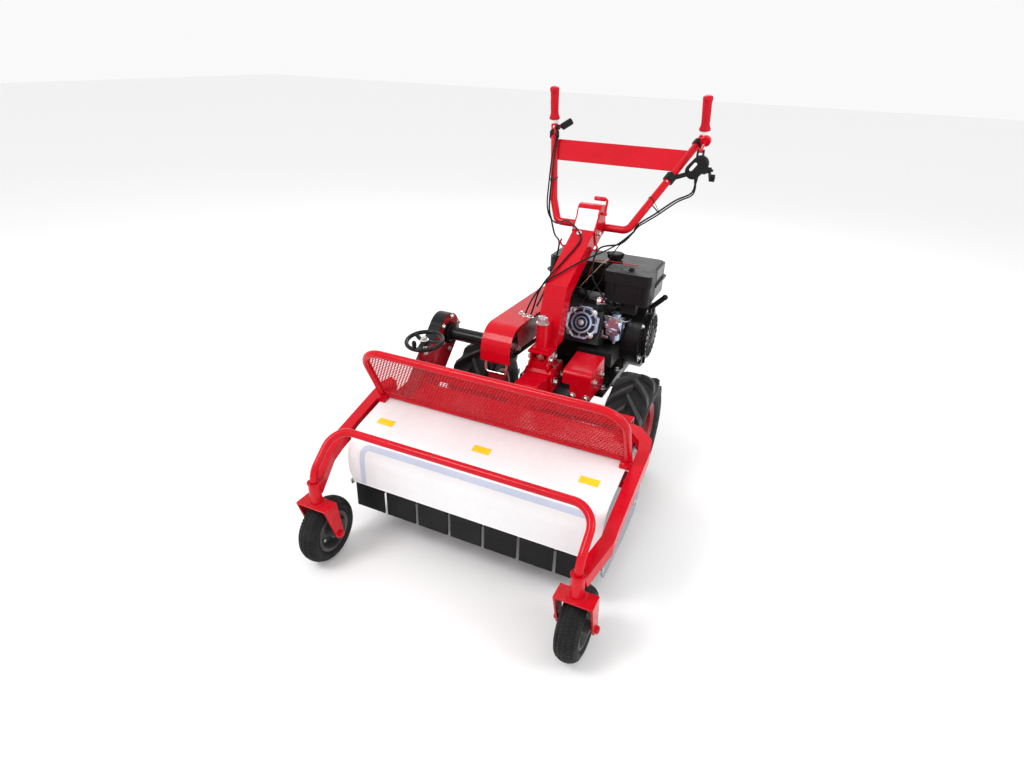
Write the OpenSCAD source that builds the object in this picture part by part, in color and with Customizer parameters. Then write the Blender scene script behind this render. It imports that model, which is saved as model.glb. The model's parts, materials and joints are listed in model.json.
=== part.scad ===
/* [Mower deck] */
// Width of the white deck cover
deck_w = 780; // [770:2:784]
// Height of the deck's front lower edge above the ground
deck_edge_z = 187; // [184:1:190]
// Thickness of the deck's cover sheet
sheet_t = 3; // [2:0.5:3]
// Number of rubber flaps along the front edge
flap_n = 7; // [7:1:7]
// Gap between two rubber flaps
flap_gap = 10; // [5:1:12]
// Length of one rubber flap
flap_h = 84; // [70:1:88]
// Diameter of the bumper's tube
bumper_d = 21.8; // [20:0.2:22]
// Diameter of the guard's tube
guard_d = 22; // [20:1:24]
// Size of the square tube of the front arms
arm_w = 34; // [30:1:36]

/* [Wheels] */
// Diameter of the drive tyres
drive_d = 396; // [390:1:398]
// Width of the drive tyres
drive_w = 140; // [130:1:142]
// Distance between the drive wheels' middles
track = 536; // [530:1:540]
// Diameter of the caster tyres
caster_d = 198; // [194:1:200]
// Width of the caster tyres
caster_w = 62; // [54:1:64]
// Distance between the two swivel axes
swivel_span = 770; // [768:1:772]

/* [Rotor] */
// Radius of the circle that the knives' tips run on
knife_r = 138; // [120:1:140]
// Number of knives along the rotor
knife_n = 12; // [8:2:14]

/* [Handlebar] */
// Diameter of the handlebar's tube
bar_d = 26; // [25:1:27]
// Half the distance between the grips
grip_x = 277; // [272:1:282]
// Length of a grip
grip_l = 106; // [100:1:118]

/* [Engine] */
// Width of the fuel tank
tank_w = 386; // [360:2:390]
// Diameter of the starter fan's housing
fan_d = 232; // [220:2:236]

/* [Hidden] */
$fn = 48;

// The row's origin lies this far behind the deck's front edge.
y_mid = 512;

red = [0.83, 0.03, 0.10];
dark_red = [0.45, 0.03, 0.06];
black = [0.07, 0.07, 0.08];
steel = [0.72, 0.73, 0.75];
plate_grey = [0.33, 0.37, 0.42];
white = [0.95, 0.95, 0.93];
rubber = [0.05, 0.05, 0.05];

// Running clearance on a radius, and the gap that moving parts keep.
run = 0.05;
gap = 0.5;

// Deck: the rotor's axis, the cover's bend and its slope.
rotor_y = 185;
rotor_z = 200;
cover_front = 7;
cover_bend = 87;
cover_bend_z = 262;
cover_slope = 13.4;
cover_end_y = 205;
plate_x = 378;
plate_t = 6;
rotor_shaft_d = 30;

// Cross shaft that carries the drive from the middle to the mower's left end.
cross_y = 490;
cross_z = 500;
cross_d = 20;
case_x = -366;
case_w = 42;
case_r = 65;
case_low_r = 60;
side_belt_x = -345;
side_pulley_r = 46;
main_belt_x = -112;
driven_r = 54;
crank_r = 40;
crank_d = 25;
crank_y = 900;
crank_z = 455;
belt_t = 8;
belt_w = 12;

// Casters.
swivel_y = -146;
trail = 25;
swivel_d = 22;
socket_d = 34;
socket_z = 215;
socket_top = 277;
fork_top = 209;
fork_w = 100;
caster_axle_d = 12;

// Drive wheels.
axle_y = 660;
axle_d = 30;

// Flaps.
flap_pitch = (2 * plate_x - 2) / flap_n;
flap_rod_d = 8;
flap_rod_y = 19;
flap_rod_z = 178;
flap_t = 5;

// Column and handlebar.
pivot_y = 512;
bar_y = 921;
bar_z = 807;

// ---------------------------------------------------------------- helpers

function unit(v) = v / norm(v);

// Points of an arc around c, from angle a0 to a1.
function arc(c, r, a0, a1, n = 8) =
    [for (i = [0 : n]) c + r * [cos(a0 + (a1 - a0) * i / n), sin(a0 + (a1 - a0) * i / n)]];

// Normal of a polyline at its point i, stretched to make a mitre.
function mitre(p, i) =
    let (a = i > 0 ? unit(p[i] - p[i - 1]) : unit(p[1] - p[0]),
         b = i < len(p) - 1 ? unit(p[i + 1] - p[i]) : a,
         n = unit(a + b))
    [-n[1], n[0]] / (n * a);

// Outline of a strip that follows a polyline, from offset w0 to offset w1.
function strip(p, w0, w1) = concat(
    [for (i = [0 : len(p) - 1]) p[i] + w0 * mitre(p, i)],
    [for (i = [len(p) - 1 : -1 : 0]) p[i] + w1 * mitre(p, i)]);

// Draws a Y-Z outline and extrudes it along X from x0 to x1.
module along_x(x0, x1)
    translate([x0, 0, 0]) rotate([90, 0, 90]) linear_extrude(x1 - x0) children();

// A cylinder along X.
module bar_x(x0, x1, y, z, d)
    translate([x0, y, z]) rotate([0, 90, 0]) cylinder(h = x1 - x0, d = d);

// A round bar from a to b.
module rod(a, b, d) {
    v = b - a;
    translate(a) rotate([0, acos(v[2] / norm(v)), atan2(v[1], v[0])])
        cylinder(h = norm(v), d = d);
}

// How far a straight runs into its bend, and how much thicker the bend is.
seat = 0.5;
swell = 0.06;

function turn(p, i) = acos(unit(p[i] - p[i - 1]) * unit(p[i + 1] - p[i]));
function trim(p, i, bend) =
    i == 0 || i == len(p) - 1 ? 0 : bend * tan(turn(p, i) / 2);

// The round corner of a bent bar at point i of its path.
module elbow(p, i, d, bend) {
    u = unit(p[i - 1] - p[i]);
    w = unit(p[i + 1] - p[i]);
    o = p[i] + unit(u + w) * bend / cos(turn(p, i) / 2);
    x = unit(p[i] + u * trim(p, i, bend) - o);
    n = unit(cross(x, p[i] + w * trim(p, i, bend) - o));
    y = cross(n, x);
    multmatrix([[x[0], y[0], n[0], o[0]], [x[1], y[1], n[1], o[1]],
                [x[2], y[2], n[2], o[2]], [0, 0, 0, 1]])
        rotate_extrude(angle = turn(p, i)) translate([bend, 0]) circle(d = d);
}

// A round bar bent along a path of points. Its bends are a hair thicker, so that they fuse.
module bent_bar(p, d, bend) {
    n = len(p) - 1;
    for (i = [0 : n - 1]) {
        u = unit(p[i + 1] - p[i]);
        a = i == 0 ? 0 : trim(p, i, bend) - seat;
        b = i == n - 1 ? 0 : trim(p, i + 1, bend) - seat;
        rod(p[i] + u * a, p[i + 1] - u * b, d);
    }
    for (i = [1 : 1 : n - 1]) elbow(p, i, d + 2 * swell, bend);
}

// The same as a hollow tube, open at its ends.
module bent_tube(p, d, wall, bend) {
    n = len(p) - 1;
    longer = [for (i = [0 : n])
        i == 0 ? p[0] - unit(p[1] - p[0]) : i == n ? p[n] + unit(p[n] - p[n - 1]) : p[i]];
    difference() {
        bent_bar(p, d, bend);
        bent_bar(longer, d - 2 * wall, bend);
    }
}

// A rectangle with round corners, centred.
module round_rect(w, h, r) {
    square([w - 2 * r, h], center = true);
    square([w, h - 2 * r], center = true);
    for (x = [-1, 1], y = [-1, 1]) translate([x * (w / 2 - r), y * (h / 2 - r)]) circle(r);
}

// A block with round upright edges: corner at p, size s.
module round_block(p, s, r)
    translate([p[0] + s[0] / 2, p[1] + s[1] / 2, p[2]])
        linear_extrude(s[2]) round_rect(s[0], s[1], r);

// The outline around two circles, joined by their outer tangents.
module two_circles(a, ra, b, rb) {
    d = unit(b - a);
    n = [-d[1], d[0]];
    s = (ra - rb) / norm(b - a);
    c = sqrt(1 - s * s);
    translate(a) circle(ra, $fn = 96);
    translate(b) circle(rb, $fn = 96);
    polygon([a + ra * (s * d + c * n), b + rb * (s * d + c * n),
             b + rb * (s * d - c * n), a + ra * (s * d - c * n)]);
}

module hexagon(af, h) rotate([0, 0, 30]) cylinder(h = h, d = af / cos(30), $fn = 6);

// Both sides of the machine.
module both_sides() {
    children();
    mirror([1, 0, 0]) children();
}

// From "behind the deck's edge" to the row's frame.
module place() translate([0, -y_mid, 0]) children();

// ---------------------------------------------------------------- deck

bend_c = [cover_front + cover_bend, cover_bend_z];
bend_end = bend_c + cover_bend * [-sin(cover_slope), cos(cover_slope)];
cover_end = bend_end + (cover_end_y - bend_end[0]) * [1, tan(cover_slope)];
cover_line = concat([[cover_front, deck_edge_z]],
    arc(bend_c, cover_bend, 180, 90 + cover_slope, 10), [cover_end]);

module deck_cover() color(white) intersection() {
    along_x(-deck_w / 2, deck_w / 2) polygon(strip(cover_line, 0, -sheet_t));
    rotate([90, 0, 0]) linear_extrude(600, center = true)
        polygon([[-deck_w / 2 + 15, deck_edge_z - 5], [-deck_w / 2, deck_edge_z + 35],
            [-deck_w / 2, 420], [deck_w / 2, 420], [deck_w / 2, deck_edge_z + 35],
            [deck_w / 2 - 15, deck_edge_z - 5]]);
}

rear_line = [cover_end + [1.2, -1.4], [330, 384], [428, 330], [436, 240]];
mast_w = 76;

module deck_frame() color(red) difference() {
    union() {
        along_x(-plate_x + 0.2, plate_x - 0.2) polygon(strip(rear_line, 0, -sheet_t));
        // Front stiffener that the flaps' rod hangs from
        along_x(-plate_x + 0.2, plate_x - 0.2) translate([29, 176]) square([4, 26]);
        // Rear beam and the mast to the hitch
        translate([-300, 352, 386]) cube([650, 36, 26]);
        along_x(-mast_w / 2, mast_w / 2)
            polygon([[352, 360], [352, 412], [400, 424], [489.8, 424], [489.8, 366], [420, 330]]);
    }
    // The beam is a tube and the mast a folded channel
    translate([-301, 356, 390]) cube([652, 28, 18]);
    along_x(-mast_w / 2 + 5, mast_w / 2 - 5)
        polygon([[389, 350], [389, 412], [402, 419], [491, 419], [491, 340], [420, 320]]);
    // Way for the side belt's case
    translate([case_x - 6, 230, 300]) cube([case_w + 12, 260, 140]);
}

// A side plate's outline, kept just inside the cover.
module side_outline() {
    front = [for (i = [0 : len(cover_line) - 1])
        cover_line[i] - (sheet_t + 0.2) * mitre(cover_line, i)];
    polygon(concat([[110, 46]], front,
        [[212, cover_end[1] - 6], [330, 376], [424, 324], [446, 200], [440, 110], [410, 66],
         [300, 46]]));
}

module side_plates() color(plate_grey) both_sides() difference() {
    along_x(plate_x, plate_x + plate_t) side_outline();
    bar_x(plate_x - 1, plate_x + plate_t + 1, rotor_y, rotor_z, rotor_shaft_d + 6);
    bar_x(plate_x - 1, plate_x + plate_t + 1, flap_rod_y, flap_rod_z, flap_rod_d + 0.1);
}

module front_arms() color(red) {
    // The left arm ends on its bracket; the right arm turns in behind the guard.
    front_arm(-1, [[404, 274], [418, 240], [418, -40], [386, -142]]);
    front_arm(1, [[318, 336], [376, 322], [410, 290], [418, 250], [418, -40], [386, -142]]);
    both_sides() {
        translate([plate_x + plate_t, 150, 330]) cube([18, 60, 14]);
    }
}

arm_side = [[345, 398], [250, 380], [0, 313], [-140, 252]];

// One arm, drawn on the +X side: its side view meets its top view.
module front_arm(side, top) mirror([side > 0 ? 0 : 1, 0, 0]) difference() {
    union() {
        intersection() {
            along_x(280, 460) polygon(strip(arm_side, arm_w / 2, -arm_w / 2));
            linear_extrude(600) polygon(strip(top, arm_w / 2, -arm_w / 2));
        }
        translate([swivel_span / 2, swivel_y, socket_z])
            cylinder(h = socket_top - socket_z, d = socket_d);
    }
    translate([swivel_span / 2, swivel_y, socket_z - 1])
        cylinder(h = socket_top - socket_z + 2, d = swivel_d + 2 * run);
    translate([swivel_span / 2, swivel_y, socket_top]) cylinder(h = 60, d = socket_d + 4);
    // Seat on the deck's rear sheet
    along_x(270, plate_x + plate_t + 0.2)
        polygon([[200, 300], [200, 378], [330, 384.3], [400, 352], [400, 300]]);
}

module bumper_bar() color(red) {
    x = swivel_span / 2;
    bent_tube([[-x, swivel_y, socket_top - 6], [-x, swivel_y, 308], [-x, -42, 396],
        [x, -42, 396], [x, swivel_y, 308], [x, swivel_y, socket_top - 6]], bumper_d, 2.5, 60);
}

guard_foot = [205, 372];
guard_top = [101, 576];
guard_x = 391;

module guard_frame() color(red) {
    low = guard_foot - unit(guard_foot - guard_top) * 18;
    bent_tube([[-guard_x, low[0], low[1]], [-guard_x, guard_top[0], guard_top[1]],
        [guard_x, guard_top[0], guard_top[1]], [guard_x, low[0], low[1]]], guard_d, 2, 72);
    // Lower rail between the legs and the feet on the deck
    bar_x(-guard_x + guard_d / 2 - 1, guard_x - guard_d / 2 + 1, low[0] + 6, low[1] - 1, 16);
    both_sides() along_x(guard_x - 19, guard_x + 9)
        polygon([[176, 371.2], [204, 377.9], [207, 394], [194, 391], [184, 384], [176, 384]]);
}

// The perforated sheet fills the guard's frame.
module guard_mesh() color(red) {
    tilt = atan2(guard_foot[0] - guard_top[0], guard_top[1] - guard_foot[1]);
    h = norm(guard_top - guard_foot) - 14;
    translate([0, guard_foot[0], guard_foot[1]]) rotate([tilt, 0, 0])
        translate([0, 0.8, 24]) rotate([90, 0, 0]) linear_extrude(1.6) intersection() {
            translate([-guard_x + guard_d / 2 - 1, 0]) square([2 * guard_x - guard_d + 2, h - 19]);
            translate([0, h / 2 - 100]) round_rect(2 * guard_x - guard_d + 2, h + 164, 62);
        }
}

// ---------------------------------------------------------------- flaps

module flap_rod() color(steel)
    bar_x(-plate_x - plate_t - 4, plate_x + plate_t + 4, flap_rod_y, flap_rod_z, flap_rod_d);

module flap(i) color(rubber) {
    x0 = -plate_x + 1 + i * flap_pitch + flap_gap / 2;
    w = flap_pitch - flap_gap;
    difference() {
        union() {
            bar_x(x0, x0 + w, flap_rod_y, flap_rod_z, 16);
            translate([x0, flap_rod_y - 8, flap_rod_z - flap_h + 6]) cube([w, flap_t, flap_h - 6]);
        }
        bar_x(x0 - 1, x0 + w + 1, flap_rod_y, flap_rod_z, flap_rod_d + 2 * run);
    }
}

// ---------------------------------------------------------------- rotor

module pulley(x, y, z, r, bore) {
    difference() {
        union() {
            bar_x(x - 12, x + 12, y, z, 2 * r - 2 * gap);
            for (s = [-1, 1]) bar_x(x + s * 10 - 2, x + s * 10 + 2, y, z, 2 * r + 12);
        }
        bar_x(x - 13, x + 13, y, z, bore);
    }
}

rotor_x0 = -306;
rotor_x1 = 366;
rotor_end = 398;
drum_d = 92;

module rotor() color(plate_grey) {
    bar_x(-rotor_end, rotor_end, rotor_y, rotor_z, rotor_shaft_d);
    difference() {
        bar_x(rotor_x0, rotor_x1, rotor_y, rotor_z, drum_d);
        bar_x(rotor_x0 - 1, rotor_x1 + 1, rotor_y, rotor_z, drum_d - 14);
    }
    // Discs that carry the drum on its shaft, with lightening holes
    for (x = [rotor_x0 + 10, rotor_x1 - 20]) difference() {
        bar_x(x, x + 10, rotor_y, rotor_z, drum_d - 2);
        for (i = [0 : 3]) translate([x - 1, rotor_y, rotor_z]) rotate([90 * i, 0, 0])
            translate([0, 0, 27]) rotate([0, 90, 0]) cylinder(h = 12, d = 16);
    }
    pulley(side_belt_x, rotor_y, rotor_z, side_pulley_r, rotor_shaft_d - 2);
    step = (rotor_x1 - rotor_x0 - 60) / (knife_n - 1);
    for (i = [0 : knife_n - 1])
        translate([rotor_x0 + 30 + i * step, rotor_y, rotor_z]) rotate([90 * i + 45, 0, 0])
            knife();
}

// A hinged hammer on its lug.
module knife() {
    translate([-20, -8, 40]) cube([5, 16, 34]);
    translate([15, -8, 40]) cube([5, 16, 34]);
    bar_x(-24, 24, 0, 66, 12);
    translate([-14, -6, 54]) cube([28, 12, 50]);
    translate([-22, -6, 100]) cube([44, 12, knife_r - 100]);
}

module rotor_bearings() color(steel) both_sides() difference() {
    union() {
        bar_x(plate_x + plate_t, rotor_end, rotor_y, rotor_z, 62);
        along_x(plate_x + plate_t, plate_x + plate_t + 5)
            translate([rotor_y, rotor_z]) round_rect(86, 86, 12);
    }
    bar_x(plate_x, rotor_end + 1, rotor_y, rotor_z, rotor_shaft_d + 2 * run);
}

// ---------------------------------------------------------------- side drive

module case_outline(grow)
    two_circles([cross_y, cross_z], case_r + grow, [rotor_y, rotor_z], case_low_r + grow);

module belt_case() color(black) difference() {
    along_x(case_x, case_x + case_w) case_outline(0);
    along_x(case_x + 2.5, case_x + case_w + 1) case_outline(-3);
    bar_x(case_x - 1, case_x + 4, rotor_y, rotor_z, rotor_shaft_d + 6);
}

module belt_case_plate() color(dark_red) difference() {
    union() {
        along_x(case_x + case_w - 3, case_x + case_w) case_outline(-3.2);
        // Ear with the shelf that holds the tension screw
        along_x(case_x + case_w, case_x + case_w + 4)
            polygon([[284, 448], [284, 476], [330, 496], [430, 500], [430, 440], [350, 436]]);
        on_screw() translate([-27, -22, -16]) cube([50, 44, 6]);
    }
    on_screw() translate([0, 0, -20]) cylinder(h = 30, d = 13);
    bar_x(case_x + case_w - 4, case_x + case_w + 1, rotor_y, rotor_z, rotor_shaft_d + 6);
    bar_x(case_x + case_w - 4, case_x + case_w + 1, cross_y, cross_z, cross_d + 6);
}

module belt_loop(x, a, ra, b, rb) along_x(x - belt_w / 2, x + belt_w / 2) difference() {
    two_circles(a, ra + belt_t, b, rb + belt_t);
    two_circles(a, ra, b, rb);
}

module drive_belts() color(rubber) {
    belt_loop(side_belt_x, [cross_y, cross_z], side_pulley_r, [rotor_y, rotor_z], side_pulley_r);
    belt_loop(main_belt_x, [cross_y, cross_z], driven_r, [crank_y, crank_z], crank_r);
}

tube_x0 = case_x + case_w;
tube_x1 = -168;

module drive_tube() color(black) difference() {
    union() {
        bar_x(tube_x0, tube_x1, cross_y, cross_z, 44);
        bar_x(tube_x0, tube_x0 + 5, cross_y, cross_z, 74);
    }
    bar_x(tube_x0 + 14, tube_x1 - 14, cross_y, cross_z, 36);
    bar_x(tube_x0 - 1, tube_x1 + 1, cross_y, cross_z, cross_d + 2 * run);
}

module cross_shaft() color(steel) {
    bar_x(case_x + 6, -64, cross_y, cross_z, cross_d);
    pulley(side_belt_x, cross_y, cross_z, side_pulley_r, cross_d - 2);
    pulley(main_belt_x, cross_y, cross_z, driven_r, cross_d - 2);
}

module crank_pulley() color(steel) {
    bar_x(main_belt_x - 14, -30, crank_y, crank_z, crank_d);
    pulley(main_belt_x, crank_y, crank_z, crank_r, crank_d - 2);
}

// Hand wheel and screw that tighten the side belt.
screw_at = [-298, 306, 486];
screw_tilt = 8;

module on_screw() translate(screw_at) rotate([screw_tilt, 0, 0]) children();

module hand_wheel() color(black) on_screw() {
    translate([0, 0, 62]) rotate_extrude($fn = 64) translate([55, 0]) circle(d = 13, $fn = 24);
    for (i = [0 : 2]) rotate([0, 0, 120 * i + 30])
        translate([0, 0, 60]) rotate([0, 90, 0]) cylinder(h = 52, d = 8);
    translate([0, 0, 52]) cylinder(h = 14, d = 26);
    translate([0, 0, -30]) cylinder(h = 90, d = 12);
    // Crank knob on the rim
    translate([0, -55, 66]) cylinder(h = 26, d = 14);
}

// Clamp block on the case that the screw passes, and its two cheeks.
module tension_slider() color(dark_red) on_screw() difference() {
    union() {
        translate([-14, -13, -2]) cube([28, 26, 18]);
        for (x = [-18, 14]) translate([x, -17, -8]) cube([4, 34, 30]);
    }
    translate([0, 0, -3]) cylinder(h = 40, d = 12 + 2 * run);
}

// ---------------------------------------------------------------- casters

module fork(side) translate([side * swivel_span / 2, swivel_y, 0]) {
    color(red) {
        translate([-fork_w / 2, -26, fork_top - 5]) cube([fork_w, 50, 5]);
        translate([0, 0, fork_top]) cylinder(h = 5.5, d = 46);
        for (x = [-fork_w / 2, fork_w / 2 - 5]) along_x(x, x + 5) {
            polygon([[-26, fork_top - 5], [24, fork_top - 5], [trail + 15, caster_d / 2],
                [trail - 15, caster_d / 2 - 4]]);
            translate([trail, caster_d / 2]) circle(15);
        }
    }
    color(steel) {
        cylinder_pin(fork_top, socket_top - 12);
        bar_x(-fork_w / 2 - 9, fork_w / 2 + 9, trail, caster_d / 2, caster_axle_d);
        for (x = [-fork_w / 2 - 7, fork_w / 2]) translate([x, trail, caster_d / 2])
            rotate([0, 90, 0]) hexagon(19, 7);
    }
}

module cylinder_pin(z0, z1) translate([0, 0, z0]) cylinder(h = z1 - z0, d = swivel_d);

// A solid of revolution about the X axis through y, z: points are [radius, x].
module spin_x(x, y, z) translate([x, y, z]) rotate([0, 90, 0]) rotate_extrude($fn = 96)
    children();

module caster_rim(side) color(plate_grey)
    spin_x(side * swivel_span / 2, swivel_y + trail, caster_d / 2) {
        w = caster_w / 2;
        r0 = caster_axle_d / 2 + run;
        polygon([[r0, -w - 6], [16, -w - 6], [18, -12], [46, -8], [52, -w + 4], [61, -w + 4],
            [61, -w + 8], [55, -w + 10], [55, w - 10], [61, w - 8], [61, w - 4], [52, w - 4],
            [46, 8], [18, 12], [16, w + 6], [r0, w + 6]]);
    }

// A tyre's section: bead, side wall, shoulder and tread.
module caster_tyre(side) color(rubber)
    spin_x(side * swivel_span / 2, swivel_y + trail, caster_d / 2) {
        w = caster_w / 2;
        r = caster_d / 2;
        polygon(concat([[55, -w + 10], [61, -w + 8], [68, -w + 1], [78, -w]],
            [for (a = [-62 : 12.4 : 62]) [r - 30 + 30 * cos(a), w * sin(a) / sin(70)]],
            [[78, w], [68, w - 1], [61, w - 8], [55, w - 10], [55, w - 16], [64, w - 10],
             [76, w - 8], [r - 14, w - 14], [r - 10, 0], [r - 14, 14 - w], [76, 8 - w],
             [64, 10 - w], [55, 16 - w]]));
    }

// ---------------------------------------------------------------- drive wheels

module wheel_axle() color(steel) {
    bar_x(-track / 2 - 34, track / 2 + 34, axle_y, drive_d / 2, axle_d);
    for (s = [-1, 1]) bar_x(s * (track / 2 + 4) - 5, s * (track / 2 + 4) + 5, axle_y,
        drive_d / 2, 96);
}

rim_r = 102;

module rim_section() {
    w = drive_w / 2 - 14;
    polygon([[axle_d / 2, -2], [axle_d / 2 + 30, -2], [70, 10], [92, 10], [92, -w + 8],
        [98, -w], [rim_r + 8, -w], [rim_r + 8, -w + 4], [rim_r, -w + 7], [rim_r, w - 7],
        [rim_r + 8, w - 4], [rim_r + 8, w], [98, w], [88, w - 8], [88, 14], [68, 14],
        [axle_d / 2 + 28, 2], [axle_d / 2, 2]]);
}

module drive_rims() color(dark_red) both_sides() difference() {
    spin_x(track / 2 + wheel_out, axle_y, drive_d / 2) rim_section();
    for (i = [0 : 3]) translate([track / 2, axle_y, drive_d / 2]) rotate([45 + 90 * i, 0, 0])
        translate([-20, 0, 36]) rotate([0, 90, 0]) cylinder(h = 50, d = 12.5);
}

lug_h = 16;

// A tyre's section without its lugs: a shell that is open at the rim.
module drive_tyre_body(r) {
    w = drive_w / 2;
    b = w - 14;
    half = concat([for (y = [0.1 : 0.2 : 0.7]) [r - 8 * y * y, y * (w - 14)]],
        [[r - 12, w - 12], [r - 34, w - 2], [rim_r + 14, w - 6], [rim_r + 8, b - 4],
         [rim_r, b - 7], [rim_r, b - 16], [rim_r + 18, w - 16], [r - 36, w - 12],
         [r - 20, w - 22], [r - 13, 0]]);
    polygon(concat(half, [for (i = [len(half) - 2 : -1 : 0]) [half[i][0], -half[i][1]]]));
}

// Slanted bars that make the arrow tread, cut off at the tyre's round.
module tread_bar(side, angle) rotate([angle, 0, 0]) translate([0, 0, drive_d / 2 - lug_h - 12])
    rotate([0, 0, side * 38]) translate([side > 0 ? 2 : -2 - drive_w * 0.66, -8, 0])
        cube([drive_w * 0.66, 16, lug_h + 20]);

wheel_out = 11;
lug_n = 14;

module drive_tyres() color(rubber) for (s = [-1, 1])
    translate([s * (track / 2 + wheel_out), axle_y, drive_d / 2]) {
        rotate([0, 90, 0]) rotate_extrude($fn = 96) drive_tyre_body(drive_d / 2 - lug_h);
        intersection() {
            rotate([0, 90, 0]) cylinder(h = drive_w - 4, d = drive_d, center = true, $fn = 96);
            for (i = [0 : lug_n - 1]) {
                tread_bar(1, 360 / lug_n * i);
                tread_bar(-1, 360 / lug_n * (i + 0.5));
            }
        }
    }

// ---------------------------------------------------------------- tractor body

module transmission() color(black) difference() {
    union() {
        along_x(-85, 85) polygon([[540, 366], [500, 340], [500, 240], [560, 130], [640, 104],
            [700, 110], [752, 160], [760, 330], [600, 330], [600, 366]]);
        bar_x(-190, 190, axle_y, drive_d / 2, 70);
        for (s = [-1, 1]) bar_x(s * 180 - 10, s * 180 + 10, axle_y, drive_d / 2, 110);
    }
    bar_x(-191, 191, axle_y, drive_d / 2, axle_d + 2 * run);
}

bed_z = 345;

module engine_bed() color(black) {
    translate([-110, 601, bed_z - 15]) cube([300, 429, 15]);
    for (x = [-100, 150]) translate([x, 760, bed_z - 50]) cube([30, 260, 35]);
}

module hitch_box() color(red) {
    intersection() {
        along_x(-52, 52) polygon([[490, 366.1], [490, 428], [498, 436], [596, 436], [600, 366.1]]);
        rotate([90, 0, 0]) linear_extrude(1400, center = true)
            polygon([[-52, 360], [-44, 440], [44, 440], [52, 360]]);
    }
    // Stepped block and the yoke that carries the column
    translate([-24, 498, 435]) cube([48, 66, 24]);
    translate([-24, 508, 458]) cube([48, 56, 10]);
    for (x = [-31, 25]) translate([x, 496, 435]) cube([6, 62, 58]);
    difference() {
        translate([-36, 488, 492]) cube([72, 74, 8]);
        translate([0, pivot_y, 480]) cylinder(h = 30, d = 18);
    }
}

module pivot_bolt() color(steel) translate([0, pivot_y, 0]) {
    translate([0, 0, 470]) hexagon(27, 12);
    translate([0, 0, 482]) cylinder(h = 130, d = 18);
    // Castle nut with its pin
    translate([0, 0, 592]) hexagon(27, 14);
    rod([-16, 0, 609], [16, 0, 609], 4);
}

module right_cover() color(red) difference() {
    line = concat([[522, 346]], arc([540, 424], 18, 180, 96, 6),
        [[650, 454], [662, 380]]);
    union() {
        along_x(74, 170) polygon(strip(line, 0, -2.5));
        along_x(167.5, 170) polygon(concat(line, [[662, 346]]));
    }
    translate([70, 515, 340]) cube([30, 12, 54]);
}

cover_r = 73;

module main_belt_cover() color(red) difference() {
    line = concat([[cross_y - cover_r, 466]],
        arc([cross_y, cross_z], cover_r, 180, 88, 12),
        arc([crank_y, crank_z], 106, 86, -20, 10));
    union() {
        along_x(-168, -67) polygon(strip(line, 0, -2.5));
        along_x(-168, -165) polygon(concat(line, [[960, 380], [760, 372], [520, 404]]));
    }
    bar_x(-170, -160, cross_y, cross_z, cross_d + 8);
}

// ---------------------------------------------------------------- engine

engine_x = 62;
slant = 22.3;

// The cylinder's own frame: its axis is -Y, leaning up to the front.
module on_cylinder() translate([engine_x, crank_y, crank_z]) rotate([-slant, 0, 0]) children();

module engine_block() color(black) difference() {
    union() {
        along_x(-60, 194) polygon([[818, bed_z], [812, 420], [836, 530], [870, 560], [990, 552],
            [1006, 520], [1000, bed_z]]);
        on_cylinder() translate([-42, -190, -50]) cube([84, 130, 100]);
        for (i = [0 : 7]) on_cylinder() translate([-62, -186 + 15 * i, -66]) cube([124, 6, 132]);
        translate([60, 700, 395]) cube([120, 130, 50]);
    }
    // Hollow crankcase, closed below by the bed
    along_x(-50, 184) polygon([[828, bed_z - 1], [822, 424], [846, 526], [876, 550], [984, 542],
        [994, 516], [990, bed_z - 1]]);
    bar_x(-61, -20, crank_y, crank_z, crank_d + 2 * run);
}

module rocker_cover() color(steel) on_cylinder() {
    translate([0, -190, 0]) rotate([90, 22.5, 0]) cylinder(h = 16, d = 122, $fn = 8);
    translate([0, -206, 0]) rotate([90, 22.5, 0]) cylinder(h = 8, d = 104, $fn = 8);
    translate([0, -214, 0]) rotate([90, 0, 0]) difference() {
        cylinder(h = 4, d = 66);
        translate([0, 0, -1]) cylinder(h = 6, d = 48);
    }
    translate([0, -214, 0]) rotate([90, 0, 0]) cylinder(h = 6, d = 26);
}

tank_z = 594;
tank_top = 698;
tank_y = 862;

module fuel_tank() color(black) difference() {
    union() {
        round_block([engine_x - tank_w / 2, tank_y, tank_z], [tank_w, 160, 100], 26);
        round_block([engine_x - tank_w / 2 + 8, tank_y + 8, tank_z + 99], [tank_w - 16, 144, 5], 20);
        round_block([engine_x - tank_w / 2 - 5, tank_y - 5, tank_z + 48], [tank_w + 10, 170, 4], 28);
        translate([cap_x, tank_y + 72, tank_top - 2]) cylinder(h = 8, d = 44);
        for (x = [-30, 140]) translate([x, tank_y + 30, 559]) cube([26, 90, 37]);
    }
    round_block([engine_x - tank_w / 2 + 3, tank_y + 3, tank_z + 3], [tank_w - 6, 154, 94], 23);
    translate([cap_x, tank_y + 72, tank_top - 20]) cylinder(h = 40, d = 36.4);
}

cap_x = 92;

module fuel_cap() color(black) translate([cap_x, tank_y + 72, tank_top + 6 + gap]) {
    cylinder(h = 16, d = 54);
    translate([0, 0, -14]) cylinder(h = 14.1, d = 36);
    translate([-30, -5, 10]) cube([60, 10, 8]);
}

module air_cleaner() color(black) {
    round_block([112, 764, 606], [150, 86, 64], 12);
    round_block([108, 760, 670], [158, 94, 38], 14);
    translate([170, 786, 562]) cube([50, 40, 45]);
}

module carburettor() color(steel) {
    bar_x(124.2, 180, 778, 520, 40);
    translate([160, 778, 470]) cylinder(h = 40, d = 46);
    translate([160, 778, 458]) cylinder(h = 12, d = 14);
    translate([160, 778, 510]) cylinder(h = 52, d = 34);
    bar_x(179, 186, 778, 520, 56);
    rod([160, 756, 548], [190, 748, 560], 5);
}

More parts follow.
